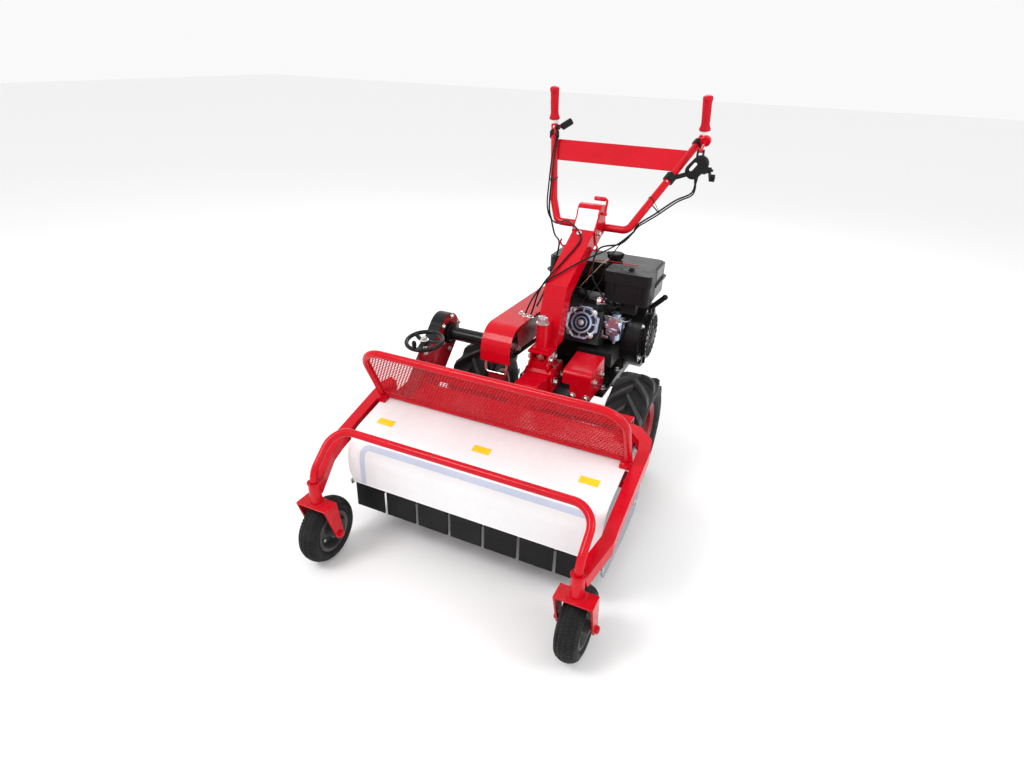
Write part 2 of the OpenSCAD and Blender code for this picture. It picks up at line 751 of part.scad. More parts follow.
module muffler() color(steel) {
    round_block([-58, 724, 588], [62, 120, 58], 14);
    bent_bar([[6, 784, 616], [36, 784, 616], [36, 806, 588]], 26, 20);
    rod([96, 756, 601], [132, 750, 607], 24);
}

module fan_housing() color(black) {
    difference() {
        bar_x(194, 244, crank_y, crank_z, fan_d);
        bar_x(193, 238, crank_y, crank_z, fan_d - 8);
    }
    bar_x(244, 262, crank_y, crank_z, 160);
    for (i = [0 : 9]) translate([244, crank_y, crank_z]) rotate([36 * i, 0, 0])
        translate([0, -3, 84]) cube([6, 6, 26]);
    translate([206, crank_y - 44, crank_z + 88]) cube([34, 40, 26]);
}

// Pull handle on its guide; it leaves along its own axis.
pull_dir = unit([49, -10, 53]);
pull_at = [255, 872, 571];

module starter_handle() color(black) {
    rod(pull_at, pull_at + pull_dir * 62, 17);
    translate(pull_at + pull_dir * 62) sphere(d = 20, $fn = 32);
}

// ---------------------------------------------------------------- column

column_line = [[545, 503], [608, 682], [834, 806], [884, 867]];
column_w = 74;
head_w = 82;
foot_z = 500 + gap;

module column() color(red) difference() {
    union() {
        difference() {
            along_x(-column_w / 2, column_w / 2) polygon(strip(column_line, 0, -56));
            along_x(-column_w / 2 + 4, column_w / 2 - 4)
                polygon(strip([column_line[0], column_line[1], column_line[2]], -4, -52));
        }
        // Foot tube on the pivot bolt, with its web
        translate([0, pivot_y, foot_z]) cylinder(h = 88, d = 36);
        translate([-30, pivot_y - 16, foot_z]) cube([60, 84, 8]);
        translate([-10, pivot_y, foot_z]) cube([20, 60, 80]);
        along_x(-head_w / 2, head_w / 2) head_outline();
        // Hooks for the cables
        for (s = [-1, 1]) bent_bar([[s * 34, 806, 764], [s * 58, 800, 756], [s * 66, 796, 770],
            [s * 60, 792, 782]], 6, 4);
    }
    translate([-60, 500, foot_z - 60]) cube([120, 140, 60]);
    translate([0, pivot_y, foot_z - 1]) cylinder(h = 100, d = 18 + 2 * run);
    translate([0, pivot_y, foot_z + 88]) cylinder(h = 60, d = 44);
    bar_x(-head_w, head_w, bar_y, bar_z, bar_d + 2 * run);
    bar_x(0, head_w, lock_y, lock_z, 10 + 2 * run);
}

module head_outline() {
    polygon([[834, 806], [884, 867], [912, 884], [936, 850], [946, 800], [925, 784], [880, 762],
        [862, 755]]);
    translate([904, 852]) circle(34, $fn = 64);
    translate([bar_y, bar_z]) circle(27, $fn = 64);
}

// Bail that frees the handlebar's height lock.
lock_y = 893;
lock_z = 858;

module lock_handle() color(red) {
    bar_x(1, 58, lock_y, lock_z, 10);
    bent_bar([[52, lock_y, lock_z], [52, lock_y + 14, lock_z + 46], [6, lock_y + 14, lock_z + 46]],
        8, 7);
}

// ---------------------------------------------------------------- handlebar

// The right half of the bar, from the column's head to the top of the grip.
bar_path = [[128, bar_y, bar_z], [165, 968, 872], [281, 1228, 1092], [grip_x - 2, 1206, 1208]];
leg_dir = unit(bar_path[2] - bar_path[1]);
grip_dir = unit(bar_path[3] - bar_path[2]);

function flip(p) = [-p[0], p[1], p[2]];

// A point on the right leg's middle line, at height z.
function on_leg(z) = bar_path[1] + leg_dir * (z - bar_path[1][2]) / leg_dir[2];

plate_low = 985;
plate_high = 1046;

module handlebar() color(red) {
    bent_tube(concat([for (i = [3 : -1 : 0]) flip(bar_path[i])], bar_path), bar_d, 2, 30);
    cross_plate();
    // Ears for the clutch lever's pin
    difference() {
        union() {
            along_x(clutch_pin[0] - 12, clutch_pin[0] - 7) polygon([[clutch_pin[1] - 10, clutch_pin[2]],
                [clutch_pin[1] - 4, clutch_pin[2] + 9], [clutch_pin[1] + 9, clutch_pin[2] + 5],
                [clutch_pin[1] + 16, clutch_pin[2] - 34], [clutch_pin[1] - 8, clutch_pin[2] - 40]]);
            bar_x(clutch_pin[0] - 8, clutch_pin[0] + 8, clutch_pin[1], clutch_pin[2], 8);
        }
        rod(flip(on_leg(1000)), flip(on_leg(1090)), bar_d - 2);
    }
}

// Flat sheet welded between the legs.
module cross_plate() {
    low = on_leg(plate_low);
    high = on_leg(plate_high);
    difference() {
        translate([0, low[1], low[2]]) rotate([atan2(leg_dir[2], leg_dir[1]), 0, 0])
            translate([0, 0, -1.5]) linear_extrude(3)
                polygon([[-low[0], 0], [low[0], 0], [high[0], norm([high[1], high[2]] - [low[1], low[2]])],
                    [-high[0], norm([high[1], high[2]] - [low[1], low[2]])]]);
        rod(on_leg(900), on_leg(1090), bar_d - 2);
        rod(flip(on_leg(900)), flip(on_leg(1090)), bar_d - 2);
    }
}

grip_a = bar_path[2] + grip_dir * 20;

module grip() difference() {
    union() {
        rod(grip_a, grip_a + grip_dir * grip_l, 33);
        rod(grip_a, grip_a + grip_dir * 6, 42);
        rod(grip_a + grip_dir * (grip_l - 4), grip_a + grip_dir * (grip_l + 8), 40);
    }
    rod(grip_a - grip_dir * 10, grip_a + grip_dir * (grip_l - 2), bar_d);
}

module grips() color(red) both_sides() grip();

// The clutch lever turns on a pin above the left leg.
clutch_pin = [-246, 1176, 1088];

module clutch_lever() color(black) difference() {
    union() {
        bar_x(clutch_pin[0] - 6, clutch_pin[0] + 6, clutch_pin[1], clutch_pin[2], 18);
        rod(clutch_pin + [0, 4, 0], [-238, 1202, 1087], 11);
        rod([-240, 1200, 1086], [-211, 1224, 1108], 24);
    }
    bar_x(clutch_pin[0] - 13, clutch_pin[0] + 13, clutch_pin[1], clutch_pin[2], 8 + 2 * run);
}

box_at = [254, 1092, 962];
throttle_pin = [0, 1112, 998];
stop_pin = [298, 1112, 1058];

module throttle_box() color(black) {
    translate(box_at) cube([78, 34, 84]);
    // Clamp around the leg, the throttle's pin and the stop lever's pin
    clamp = on_leg(964);
    difference() {
        union() {
            rod(clamp - leg_dir * 14, clamp + leg_dir * 14, bar_d + 12);
            rod(clamp, [box_at[0] + 6, box_at[1] + 17, box_at[2] + 16], 16);
        }
        rod(clamp - leg_dir * 50, clamp + leg_dir * 50, bar_d);
    }
    bar_x(331, 348, throttle_pin[1], throttle_pin[2], 8);
    for (x = [-12, 7]) translate([stop_pin[0] + x, stop_pin[1] - 9, box_at[2] + 84]) cube([5, 18, 16]);
    bar_x(stop_pin[0] - 8, stop_pin[0] + 8, stop_pin[1], stop_pin[2], 6);
}

module throttle_lever() color(black) difference() {
    union() {
        bar_x(332.5, 342, throttle_pin[1], throttle_pin[2], 20);
        along_x(333.5, 339.5) polygon([[1104, 992], [1118, 1006], [1150, 972], [1140, 962]]);
        along_x(333.5, 352) polygon([[1138, 972], [1150, 980], [1160, 966], [1146, 956]]);
    }
    bar_x(330, 350, throttle_pin[1], throttle_pin[2], 8 + 2 * run);
}

module stop_lever() color(red) difference() {
    knob = stop_pin + [0, 58, 22];
    stem = unit([0, 58, 22]);
    union() {
        bar_x(stop_pin[0] - 6, stop_pin[0] + 6, stop_pin[1], stop_pin[2], 14);
        rod(stop_pin, knob, 9);
        rod(knob - stem * 8, knob, 18);
        rod(knob - stem * 0.5, knob + stem * 14, 34);
    }
    bar_x(stop_pin[0] - 10, stop_pin[0] + 10, stop_pin[1], stop_pin[2], 6 + 2 * run);
}

// ---------------------------------------------------------------- cables

// A point of a smooth curve through the route's points, at u from point i to i + 1.
function curve(p, i, u) =
    let (n = len(p) - 1, a = p[max(i - 1, 0)], b = p[i], c = p[i + 1], d = p[min(i + 2, n)])
    0.5 * (2 * b + (c - a) * u + (2 * a - 5 * b + 4 * c - d) * u * u
        + (3 * b - a - 3 * c + d) * u * u * u);

function smooth(p, n) = concat([for (i = [0 : len(p) - 2], k = [0 : n - 1]) curve(p, i, k / n)],
    [p[len(p) - 1]]);

// A tube with eight sides along a route.
module cable(route, d, n) {
    p = smooth(route, n);
    m = len(p);
    rings = [for (i = [0 : m - 1])
        let (t = unit(p[min(i + 1, m - 1)] - p[max(i - 1, 0)]))
        let (a = unit(cross(t, [1, 0, 0])), b = cross(t, a))
        for (k = [0 : 7]) p[i] + d / 2 * (a * cos(45 * k) + b * sin(45 * k))];
    sides = [for (i = [0 : m - 2], k = [0 : 7])
        [8 * i + k, 8 * i + (k + 1) % 8, 8 * i + 8 + (k + 1) % 8, 8 * i + 8 + k]];
    polyhedron(rings, concat([[for (k = [7 : -1 : 0]) k]], sides,
        [[for (k = [0 : 7]) 8 * (m - 1) + k]]));
}

clutch_route = [[-246, 1168, 1070], [-232, 1140, 1040], [-216, 1080, 1000], [-190, 1000, 935],
    [-164, 926, 850], [-150, 921, 807]];
throttle_route = [[296, 1110, 961], [290, 1100, 920], [250, 1040, 900], [200, 980, 860],
    [160, 936, 830], [150, 921, 807]];
clutch_lower = [[-149, 918, 804], [-120, 880, 770], [-70, 798, 764], [-64, 740, 700],
    [-74, 690, 620], [-84, 660, 580]];
throttle_lower = [[149, 918, 804], [120, 880, 770], [70, 798, 764], [74, 744, 690],
    [128, 728, 622], [150, 752, 566]];

module upper_cables() color(black) {
    cable(clutch_route, 6, 4);
    cable(throttle_route, 6, 4);
}

module lower_cables() color(black) {
    cable(clutch_lower, 6, 4);
    cable(throttle_lower, 6, 4);
}

module frame_bolts() color(steel) {
    for (x = [-41, 41]) translate([x, 530, 436]) hexagon(15, 9);
    for (x = [-41, 41]) translate([x, 572, 436]) hexagon(15, 9);
}

// ---------------------------------------------------------------- nodes

place() deck_cover();
place() deck_frame();
place() side_plates();
place() front_arms();
place() bumper_bar();
place() guard_frame();
place() guard_mesh();
place() flap_rod();
place() flap(0);  // flap_1
place() flap(1);  // flap_2
place() flap(2);  // flap_3
place() flap(3);  // flap_4
place() flap(4);  // flap_5
place() flap(5);  // flap_6
place() flap(6);  // flap_7
place() rotor();
place() rotor_bearings();
place() belt_case();
place() belt_case_plate();
place() drive_belts();
place() drive_tube();
place() cross_shaft();
place() crank_pulley();
place() hand_wheel();
place() tension_slider();
place() fork(-1);  // left_fork
place() caster_rim(-1);  // left_caster_rim
place() caster_tyre(-1);  // left_caster_tyre
place() fork(1);  // right_fork
place() caster_rim(1);  // right_caster_rim
place() caster_tyre(1);  // right_caster_tyre
place() transmission();
place() engine_bed();
place() wheel_axle();
place() drive_rims();
place() drive_tyres();
place() hitch_box();
place() right_cover();
place() main_belt_cover();
place() engine_block();
place() rocker_cover();
place() fuel_tank();
place() fuel_cap();
place() air_cleaner();
place() carburettor();
place() muffler();
place() fan_housing();
place() starter_handle();
place() pivot_bolt();
place() frame_bolts();
place() column();
place() lock_handle();
place() handlebar();
place() grips();
place() clutch_lever();
place() throttle_box();
place() throttle_lever();
place() stop_lever();
place() upper_cables();
place() lower_cables();
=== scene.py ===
"""The visual model of a walk-behind two-wheel tractor with a flail mower head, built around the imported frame."""
import bpy
import bmesh
import json
import random
from math import atan2, cos, hypot, pi, radians, sin, sqrt
from mathutils import Matrix, Vector


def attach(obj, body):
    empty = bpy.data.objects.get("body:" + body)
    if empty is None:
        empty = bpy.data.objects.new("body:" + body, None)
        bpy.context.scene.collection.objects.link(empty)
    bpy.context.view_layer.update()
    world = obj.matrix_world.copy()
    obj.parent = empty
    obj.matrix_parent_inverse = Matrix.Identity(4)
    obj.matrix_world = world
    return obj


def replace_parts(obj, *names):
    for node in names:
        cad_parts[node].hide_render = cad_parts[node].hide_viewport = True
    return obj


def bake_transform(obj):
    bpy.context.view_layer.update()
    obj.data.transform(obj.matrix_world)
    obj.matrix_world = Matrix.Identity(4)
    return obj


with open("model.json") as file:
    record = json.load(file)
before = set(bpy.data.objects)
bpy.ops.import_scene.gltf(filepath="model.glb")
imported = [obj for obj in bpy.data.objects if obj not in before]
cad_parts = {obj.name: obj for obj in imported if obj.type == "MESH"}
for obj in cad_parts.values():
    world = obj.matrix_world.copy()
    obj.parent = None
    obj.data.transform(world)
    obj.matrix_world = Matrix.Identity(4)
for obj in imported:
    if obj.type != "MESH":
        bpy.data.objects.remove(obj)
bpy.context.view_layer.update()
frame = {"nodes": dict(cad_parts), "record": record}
nodes = frame["nodes"]
MM = 0.001
# The row's origin lies this far behind the deck's front edge, as in the part's source.
Y_MID = 512
X, Y, Z = Vector((1, 0, 0)), Vector((0, 1, 0)), Vector((0, 0, 1))
# The (y, z) of the axes that lie along x, in mm.
CRANK, CROSS, ROTOR, AXLE, BAR = (900, 455), (490, 500), (185, 200), (660, 198), (921, 807)


def at(x, y, z):
    """A point given in mm, with y counted from the deck's front edge, in the row's frame."""
    return Vector((x, y - Y_MID, z)) * MM


# ---------------------------------------------------------------- camera and light

# The camera that was fitted to the photo: its place in m, its angles in degrees, its lens in mm.
CAMERA_PLACE = Vector((0.702, -1.764, 1.359))
CAMERA_AZIMUTH, CAMERA_DOWN, CAMERA_ROLL = 24.4, 27.5, 1.9
CAMERA_LENS, CAMERA_SENSOR = 22.99, 36
FLOOR_SIZE, FLOOR_GREY, SKY_STRENGTH = 40, 0.93, 0.95


def make_camera():
    azimuth, down, roll = (radians(a) for a in (CAMERA_AZIMUTH, CAMERA_DOWN, CAMERA_ROLL))
    look = Vector((-sin(azimuth) * cos(down), cos(azimuth) * cos(down), -sin(down)))
    flat = Vector((cos(azimuth), sin(azimuth), 0))
    right = cos(roll) * flat + sin(roll) * flat.cross(look)
    up = right.cross(look)
    data = bpy.data.cameras.new("camera")
    data.sensor_width, data.lens = CAMERA_SENSOR, CAMERA_LENS
    cam = bpy.data.objects.new("camera", data)
    bpy.context.collection.objects.link(cam)
    rows = [(right[k], up[k], -look[k], CAMERA_PLACE[k]) for k in range(3)]
    cam.matrix_world = Matrix(rows + [(0, 0, 0, 1)])
    bpy.context.scene.camera = cam


def area_light(name, place, target, size, power, colour=(1, 1, 1)):
    data = bpy.data.lights.new(name, "AREA")
    data.shape, data.size, data.energy, data.color = "DISK", size, power, colour
    lamp = bpy.data.objects.new(name, data)
    bpy.context.collection.objects.link(lamp)
    lamp.location = place
    lamp.rotation_euler = (Vector(target) - Vector(place)).to_track_quat("-Z", "Y").to_euler()


def make_stage():
    bpy.ops.mesh.primitive_plane_add(size=FLOOR_SIZE)
    floor = bpy.context.object
    floor.name = "floor"
    pale = bpy.data.materials.new("floor")
    pale.use_nodes = True
    shader = pale.node_tree.nodes["Principled BSDF"]
    shader.inputs["Base Color"].default_value = (FLOOR_GREY, FLOOR_GREY, FLOOR_GREY, 1)
    shader.inputs["Roughness"].default_value = 0.9
    floor.data.materials.append(pale)
    world = bpy.data.worlds.new("studio")
    world.use_nodes = True
    world.node_tree.nodes["Background"].inputs[0].default_value = (1, 1, 1, 1)
    world.node_tree.nodes["Background"].inputs[1].default_value = SKY_STRENGTH
    bpy.context.scene.world = world
    bpy.context.scene.view_settings.view_transform = "Standard"
    area_light("key", (-1.6, -2.6, 3.6), (0, 0, 0.4), 1.6, 70)
    area_light("side", (3.2, -0.6, 2.4), (0, 0, 0.5), 1.4, 30)
    area_light("back", (-0.6, 3.0, 2.8), (0, 0.2, 0.6), 1.8, 30)


make_camera()
make_stage()


# ---------------------------------------------------------------- materials

class Graph:
    """A material's node tree, with short calls for the nodes that it needs."""

    def __init__(self, name, metal=0.0, coat=0.0):
        self.mat = bpy.data.materials.new(name)
        self.mat.use_nodes = True
        self.tree = self.mat.node_tree
        self.shader = self.tree.nodes["Principled BSDF"]
        self.shader.inputs["Metallic"].default_value = metal
        self.shader.inputs["Coat Weight"].default_value = coat
        self.shader.inputs["Coat Roughness"].default_value = 0.06
        self.shader.inputs["Specular IOR Level"].default_value = 0.5 if metal else 0.16
        self.place = self.node("ShaderNodeTexCoord").outputs["Object"]

    def node(self, kind, **values):
        made = self.tree.nodes.new(kind)
        for key, value in values.items():
            setattr(made, key, value)
        return made

    def link(self, a, b):
        self.tree.links.new(a, b)

    def noise(self, scale, detail=4, stretch=None):
        made = self.node("ShaderNodeTexNoise")
        made.inputs["Scale"].default_value = scale
        made.inputs["Detail"].default_value = detail
        source = self.place
        if stretch:
            mapping = self.node("ShaderNodeMapping")
            mapping.inputs["Scale"].default_value = stretch
            self.link(source, mapping.inputs["Vector"])
            source = mapping.outputs["Vector"]
        self.link(source, made.inputs["Vector"])
        return made.outputs["Fac"]

    def remap(self, value, a, b, c, d):
        made = self.node("ShaderNodeMapRange")
        for i, number in zip((1, 2, 3, 4), (a, b, c, d)):
            made.inputs[i].default_value = number
        self.link(value, made.inputs[0])
        return made.outputs[0]

    def math(self, kind, a, b):
        made = self.node("ShaderNodeMath", operation=kind, use_clamp=True)
        for socket, value in zip(made.inputs, (a, b)):
            if isinstance(value, (int, float)):
                socket.default_value = value
            else:
                self.link(value, socket)
        return made.outputs[0]

    def mix(self, mask, a, b):
        made = self.node("ShaderNodeMix", data_type="RGBA")
        for socket, value in ((made.inputs[0], mask), (made.inputs[6], a), (made.inputs[7], b)):
            if isinstance(value, tuple):
                socket.default_value = (*value, 1)
            else:
                self.link(value, socket)
        return made.outputs[2]

    def edges(self, radius, low=0.80, high=0.97):
        """(rounded normal, mask that is 1 along sharp edges)."""
        bevel = self.node("ShaderNodeBevel", samples=4)
        bevel.inputs["Radius"].default_value = radius
        dot = self.node("ShaderNodeVectorMath", operation="DOT_PRODUCT")
        self.link(bevel.outputs[0], dot.inputs[0])
        self.link(self.node("ShaderNodeNewGeometry").outputs["Normal"], dot.inputs[1])
        return bevel.outputs[0], self.remap(dot.outputs["Value"], low, high, 1, 0)

    def height_mask(self, low, high):
        """1 near the ground, 0 above."""
        split = self.node("ShaderNodeSeparateXYZ")
        self.link(self.place, split.inputs[0])
        return self.remap(split.outputs[2], low, high, 1, 0)

    def bump(self, height, strength, distance, normal=None):
        made = self.node("ShaderNodeBump")
        made.inputs["Strength"].default_value = strength
        made.inputs["Distance"].default_value = distance
        self.link(height, made.inputs["Height"])
        if normal is not None:
            self.link(normal, made.inputs["Normal"])
        return made.outputs[0]


def shade(colour, k):
    return tuple(min(1, c * k) for c in colour)


def paint(name, colour, rough=0.22, coat=0.6, vary=0.10, dust=0.35, metal=0.0, wear=(0.35, 0.33, 0.32),
        peel=0.25):
    """Sprayed or moulded surface: tone drift, dusty low parts, worn edges and a fine orange peel."""
    g = Graph(name, metal, coat)
    tone = g.mix(g.remap(g.noise(7, 3), 0.35, 0.65, 0, 1), shade(colour, 1 - vary), shade(colour, 1 + vary))
    fine = g.noise(160, 6)
    film = g.math("MULTIPLY", g.height_mask(0.05, 0.45), g.remap(g.noise(14, 6), 0.4, 0.75, 0, dust))
    tone = g.mix(film, tone, (0.42, 0.38, 0.33))
    normal, edge = g.edges(0.0012)
    chip = g.math("MULTIPLY", edge, g.remap(g.noise(55, 5), 0.56, 0.66, 0, 0.8))
    tone = g.mix(chip, tone, wear)
    g.link(tone, g.shader.inputs["Base Color"])
    scuff = g.math("ADD", g.remap(g.noise(22, 5), 0.3, 0.7, rough * 0.7, rough * 1.5),
            g.math("MULTIPLY", film, 0.9))
    g.link(g.math("ADD", scuff, g.math("MULTIPLY", chip, 0.3)), g.shader.inputs["Roughness"])
    g.link(g.bump(fine, peel, 0.0001, normal), g.shader.inputs["Normal"])
    return g.mat


def metal(name, colour, rough=0.28, stretch=None, vary=0.14, rust=0.10):
    """Bare or plated metal with brushed or cast grain, dull patches and a little brown in scattered spots."""
    g = Graph(name, 1.0)
    tone = g.mix(g.remap(g.noise(12, 5), 0.35, 0.65, 0, 1), shade(colour, 1 - vary), shade(colour, 1 + vary))
    spots = g.remap(g.noise(38, 6), 0.62, 0.72, 0, rust)
    tone = g.mix(spots, tone, (0.20, 0.11, 0.06))
    normal, edge = g.edges(0.0008)
    g.link(g.mix(g.math("MULTIPLY", edge, 0.35), tone, shade(colour, 1.25)), g.shader.inputs["Base Color"])
    grain = g.noise(220, 5, stretch)
    g.link(g.remap(grain, 0.3, 0.7, rough * 0.75, rough * 1.45), g.shader.inputs["Roughness"])
    g.link(g.bump(grain, 0.25, 0.0001, normal), g.shader.inputs["Normal"])
    return g.mat


def rubber(name, colour=(0.012, 0.012, 0.013), rough=0.60, dust=0.34, grain=260):
    """Moulded rubber: matt, a little grey with dust where it stands up, fine pores."""
    g = Graph(name)
    tone = g.mix(g.remap(g.noise(9, 4), 0.35, 0.65, 0, 1), shade(colour, 0.75), shade(colour, 1.35))
    normal, edge = g.edges(0.0015)
    worn = g.math("MULTIPLY", edge, g.remap(g.noise(30, 4), 0.35, 0.7, 0.1, 0.7))
    dusty = g.math("ADD", worn, g.remap(g.noise(18, 6), 0.5, 0.8, 0, dust * 0.5))
    g.link(g.mix(g.math("MULTIPLY", dusty, dust), tone, (0.19, 0.18, 0.165)), g.shader.inputs["Base Color"])
    g.link(g.remap(g.noise(40, 5), 0.3, 0.7, rough * 0.8, min(1, rough * 1.25)), g.shader.inputs["Roughness"])
    g.link(g.bump(g.noise(grain, 5), 0.35, 0.0002, normal), g.shader.inputs["Normal"])
    return g.mat


RED = (0.56, 0.001, 0.011)
M = {
    "deck_paint": paint("white_paint", (0.84, 0.84, 0.85), 0.25, 0.3, 0.02, 0.10, peel=0.12),
    "red_paint": paint("red_paint", RED, 0.20, 0.10, 0.06, 0.06, wear=(0.30, 0.02, 0.03)),
    "sheet_red": paint("sheet_red", RED, 0.30, 0.05, 0.05, 0.0, wear=RED, peel=0.1),
    "dark_rim": paint("dark_rim", (0.035, 0.037, 0.042), 0.38, 0.05, 0.2, 0.3, wear=(0.2, 0.2, 0.2)),
    # dark_red_paint is the red paint darkened to about half: painted shade, for red parts that lie in shade.
    "dark_red_paint": paint("dark_red_paint", (0.30, 0.007, 0.015), 0.38, 0.2, 0.15, 0.45, peel=0.5),
    "black_paint": paint("black_paint", (0.008, 0.008, 0.009), 0.22, 0.08, 0.2, 0.12, wear=(0.08, 0.08, 0.08)),
    "grey_plate": paint("grey_plate", (0.24, 0.28, 0.33), 0.36, 0.2, 0.14, 0.5),
    "bright_steel": metal("zinc_steel", (0.62, 0.63, 0.64), 0.27),
    "cast_metal": paint("black_casting", (0.013, 0.013, 0.014), 0.46, 0.0, 0.25, 0.35, 0.2, peel=0.9),
    "bare_casting": metal("aluminium_casting", (0.50, 0.60, 0.76), 0.30, vary=0.2, rust=0.04),
    "tyre_rubber": rubber("tyre_rubber"),
    # The lugs' rubber is the tyre's rubber made several times lighter: painted light, for the light that the lug
    # tops catch.
    "lit_lug_rubber": rubber("lit_lug_rubber", (0.045, 0.045, 0.048), 0.55, 0.5),
    "flap_rubber": rubber("flap_rubber", (0.008, 0.008, 0.009), 0.5, 0.14, 180),
    "belt_rubber": rubber("belt_rubber", (0.02, 0.02, 0.02), 0.7, 0.6),
    "black_plastic": paint("black_plastic", (0.009, 0.009, 0.010), 0.40, 0.0, 0.15, 0.15,
    wear=(0.05, 0.05, 0.05), peel=0.7),
    "tank_plastic": paint("tank_paint", (0.007, 0.007, 0.008), 0.20, 0.10, 0.2, 0.1, wear=(0.05, 0.05, 0.05)),
    "grip_rubber": paint("grip_rubber", (0.50, 0.004, 0.014), 0.42, 0.0, 0.08, 0.0, wear=(0.7, 0.1, 0.1),
    peel=0.6),
    "cable_sheath": paint("cable_sheath", (0.005, 0.005, 0.005), 0.34, 0.0, 0.15, 0.1, wear=(0.1, 0.1, 0.1)),
    "red_plastic": paint("red_plastic", (0.60, 0.004, 0.016), 0.25, 0.2, 0.05, 0.0, wear=(0.8, 0.2, 0.2)),
    "bolt_zinc": metal("bolt_zinc", (0.66, 0.66, 0.64), 0.30, rust=0.2),
    "chrome": metal("chrome_pipe", (0.78, 0.78, 0.78), 0.12, rust=0.1),
    "yellow_label": paint("yellow_label", (0.85, 0.62, 0.02), 0.45, 0.0, 0.05, 0.1),
    "white_label": paint("white_label", (0.80, 0.80, 0.80), 0.5, 0.0, 0.04, 0.1),
    "blue_stripe": paint("blue_stripe", (0.56, 0.62, 0.76), 0.3, 0.4, 0.04, 0.15, peel=0.12),
    "wire_red": paint("wire_red", (0.55, 0.02, 0.02), 0.4, 0.0, 0.1, 0.0),
    "wire_pale": paint("wire_pale", (0.75, 0.70, 0.40), 0.4, 0.0, 0.1, 0.0),
}


OTHER_FINISH = {"left_caster_rim": "dark_rim", "right_caster_rim": "dark_rim", "muffler": "black_paint"}


def dress_nodes():
    """Gives every CAD node the detailed material of its slot."""
    for part in frame["record"]["subparts"]:
        shown = nodes[part["node"]]
        if not shown.material_slots:
            shown.data.materials.append(None)
        for holder in shown.material_slots:
            holder.link = "OBJECT"
            holder.material = M[OTHER_FINISH.get(part["node"], part["material_slot"])]


# ---------------------------------------------------------------- mesh helpers

def add(name, body, shape, mat, bevel=0.0, smooth=35):
    """Makes a piece from (verts, faces) that rides on a body, smooth up to an angle and bevelled in mm."""
    mesh = mesh_of(name, *shape)
    mesh.shade_smooth()
    mesh.set_sharp_from_angle(angle=radians(smooth))
    made = bpy.data.objects.new(name, mesh)
    bpy.context.collection.objects.link(made)
    mesh.materials.append(M[mat])
    if bevel:
        rounder = made.modifiers.new("round", "BEVEL")
        rounder.width, rounder.segments, rounder.limit_method = bevel * MM, 2, "ANGLE"
        rounder.harden_normals = False
    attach(made, body)
    return made


def mesh_of(name, verts, faces):
    mesh = bpy.data.meshes.new(name)
    mesh.from_pydata([tuple(v) for v in verts], [], faces)
    shape = bmesh.new()
    shape.from_mesh(mesh)
    bmesh.ops.remove_doubles(shape, verts=shape.verts, dist=1e-6)
    bmesh.ops.recalc_face_normals(shape, faces=shape.faces)
    shape.to_mesh(mesh)
    shape.free()
    return mesh


def gather(parts):
    """Joins (verts, faces) pairs into one."""
    verts, faces = [], []
    for v, f in parts:
        faces += [[i + len(verts) for i in face] for face in f]
        verts += v
    return verts, faces


def side_word(s):
    return "left" if s < 0 else "right"


def turned_from(u, v, a):
    """The direction, or number, that lies the angle a from u towards v."""
    return u * cos(a) + v * sin(a)


def across(axis):
    """Two unit vectors at right angles to an axis."""
    axis = axis.normalized()
    u = (Z if abs(axis.z) < 0.9 else X).cross(axis).normalized()
    return u, axis.cross(u)


def turned(centre, axis, profile, segments=72):
    """A closed solid of revolution: the profile is (radius, height) in mm, anticlockwise and closed."""
    u, v = across(axis)
    axis = axis.normalized()
    verts, faces, n = [], [], len(profile)
    for i in range(segments):
        a = 2 * pi * i / segments
        out = turned_from(u, v, a)
        verts += [centre + (out * r + axis * h) * MM for r, h in profile]
    for i in range(segments):
        for k in range(n):
            a, b = i * n, (i + 1) % segments * n
            faces.append([a + k, b + k, b + (k + 1) % n, a + (k + 1) % n])
    return verts, faces


def smooth_path(points, n=6, closed=False):
    """A Catmull-Rom curve through the points."""
    out, m = [], len(points)
    last = m if closed else m - 1
    pick = (lambda i: points[i % m]) if closed else (lambda i: points[min(max(i, 0), m - 1)])
    for i in range(last):
        a, b, c, d = (pick(i + k) for k in (-1, 0, 1, 2))
        for k in range(n):
            t = k / n
            out.append(0.5 * (2 * b + (c - a) * t + (2 * a - 5 * b + 4 * c - d) * t * t
                              + (3 * b - a - 3 * c + d) * t ** 3))
    return out if closed else out + [points[-1]]


def swept(path, section, closed=False):
    """Sweeps a section of (u, v) points in mm along a path, with caps if it is open."""
    m, n = len(path), len(section)
    verts, faces, side = [], [], None
    for i, p in enumerate(path):
        ahead = path[(i + 1) % m] if closed or i < m - 1 else p
        behind = path[i - 1] if closed or i > 0 else p
        t = (ahead - behind).normalized()
        side = across(t)[0] if side is None else (side - t * side.dot(t)).normalized()
        other = t.cross(side)
        verts += [p + (side * u + other * v) * MM for u, v in section]
    for i in range(m if closed else m - 1):
        a, b = i * n, (i + 1) % m * n
        faces += [[a + k, a + (k + 1) % n, b + (k + 1) % n, b + k] for k in range(n)]
    if not closed:
        faces += [list(range(n))[::-1], [(m - 1) * n + k for k in range(n)]]
    return verts, faces


def ring(radius, sides=16):
    return [(radius * cos(2 * pi * k / sides), radius * sin(2 * pi * k / sides))
            for k in range(sides)]


def prism(origin, u, v, outline, depth):
    """An outline in mm in the plane of u and v, pushed depth mm along u x v."""
    w = u.cross(v).normalized() * depth * MM
    low = [origin + (u * a + v * b) * MM for a, b in outline]
    n = len(low)
    faces = [list(range(n))[::-1], [n + k for k in range(n)]]
    faces += [[k, (k + 1) % n, n + (k + 1) % n, n + k] for k in range(n)]
    return low + [p + w for p in low], faces


def tube(name, body, points, radius, mat, n=6, sides=16, closed=False):
    return add(name, body, swept(smooth_path(points, n, closed), ring(radius, sides), closed), mat)


def lathe(name, body, centre, axis, profile, mat, segments=72, bevel=0.0, smooth=35):
    return add(name, body, turned(centre, axis, profile, segments), mat, bevel, smooth)


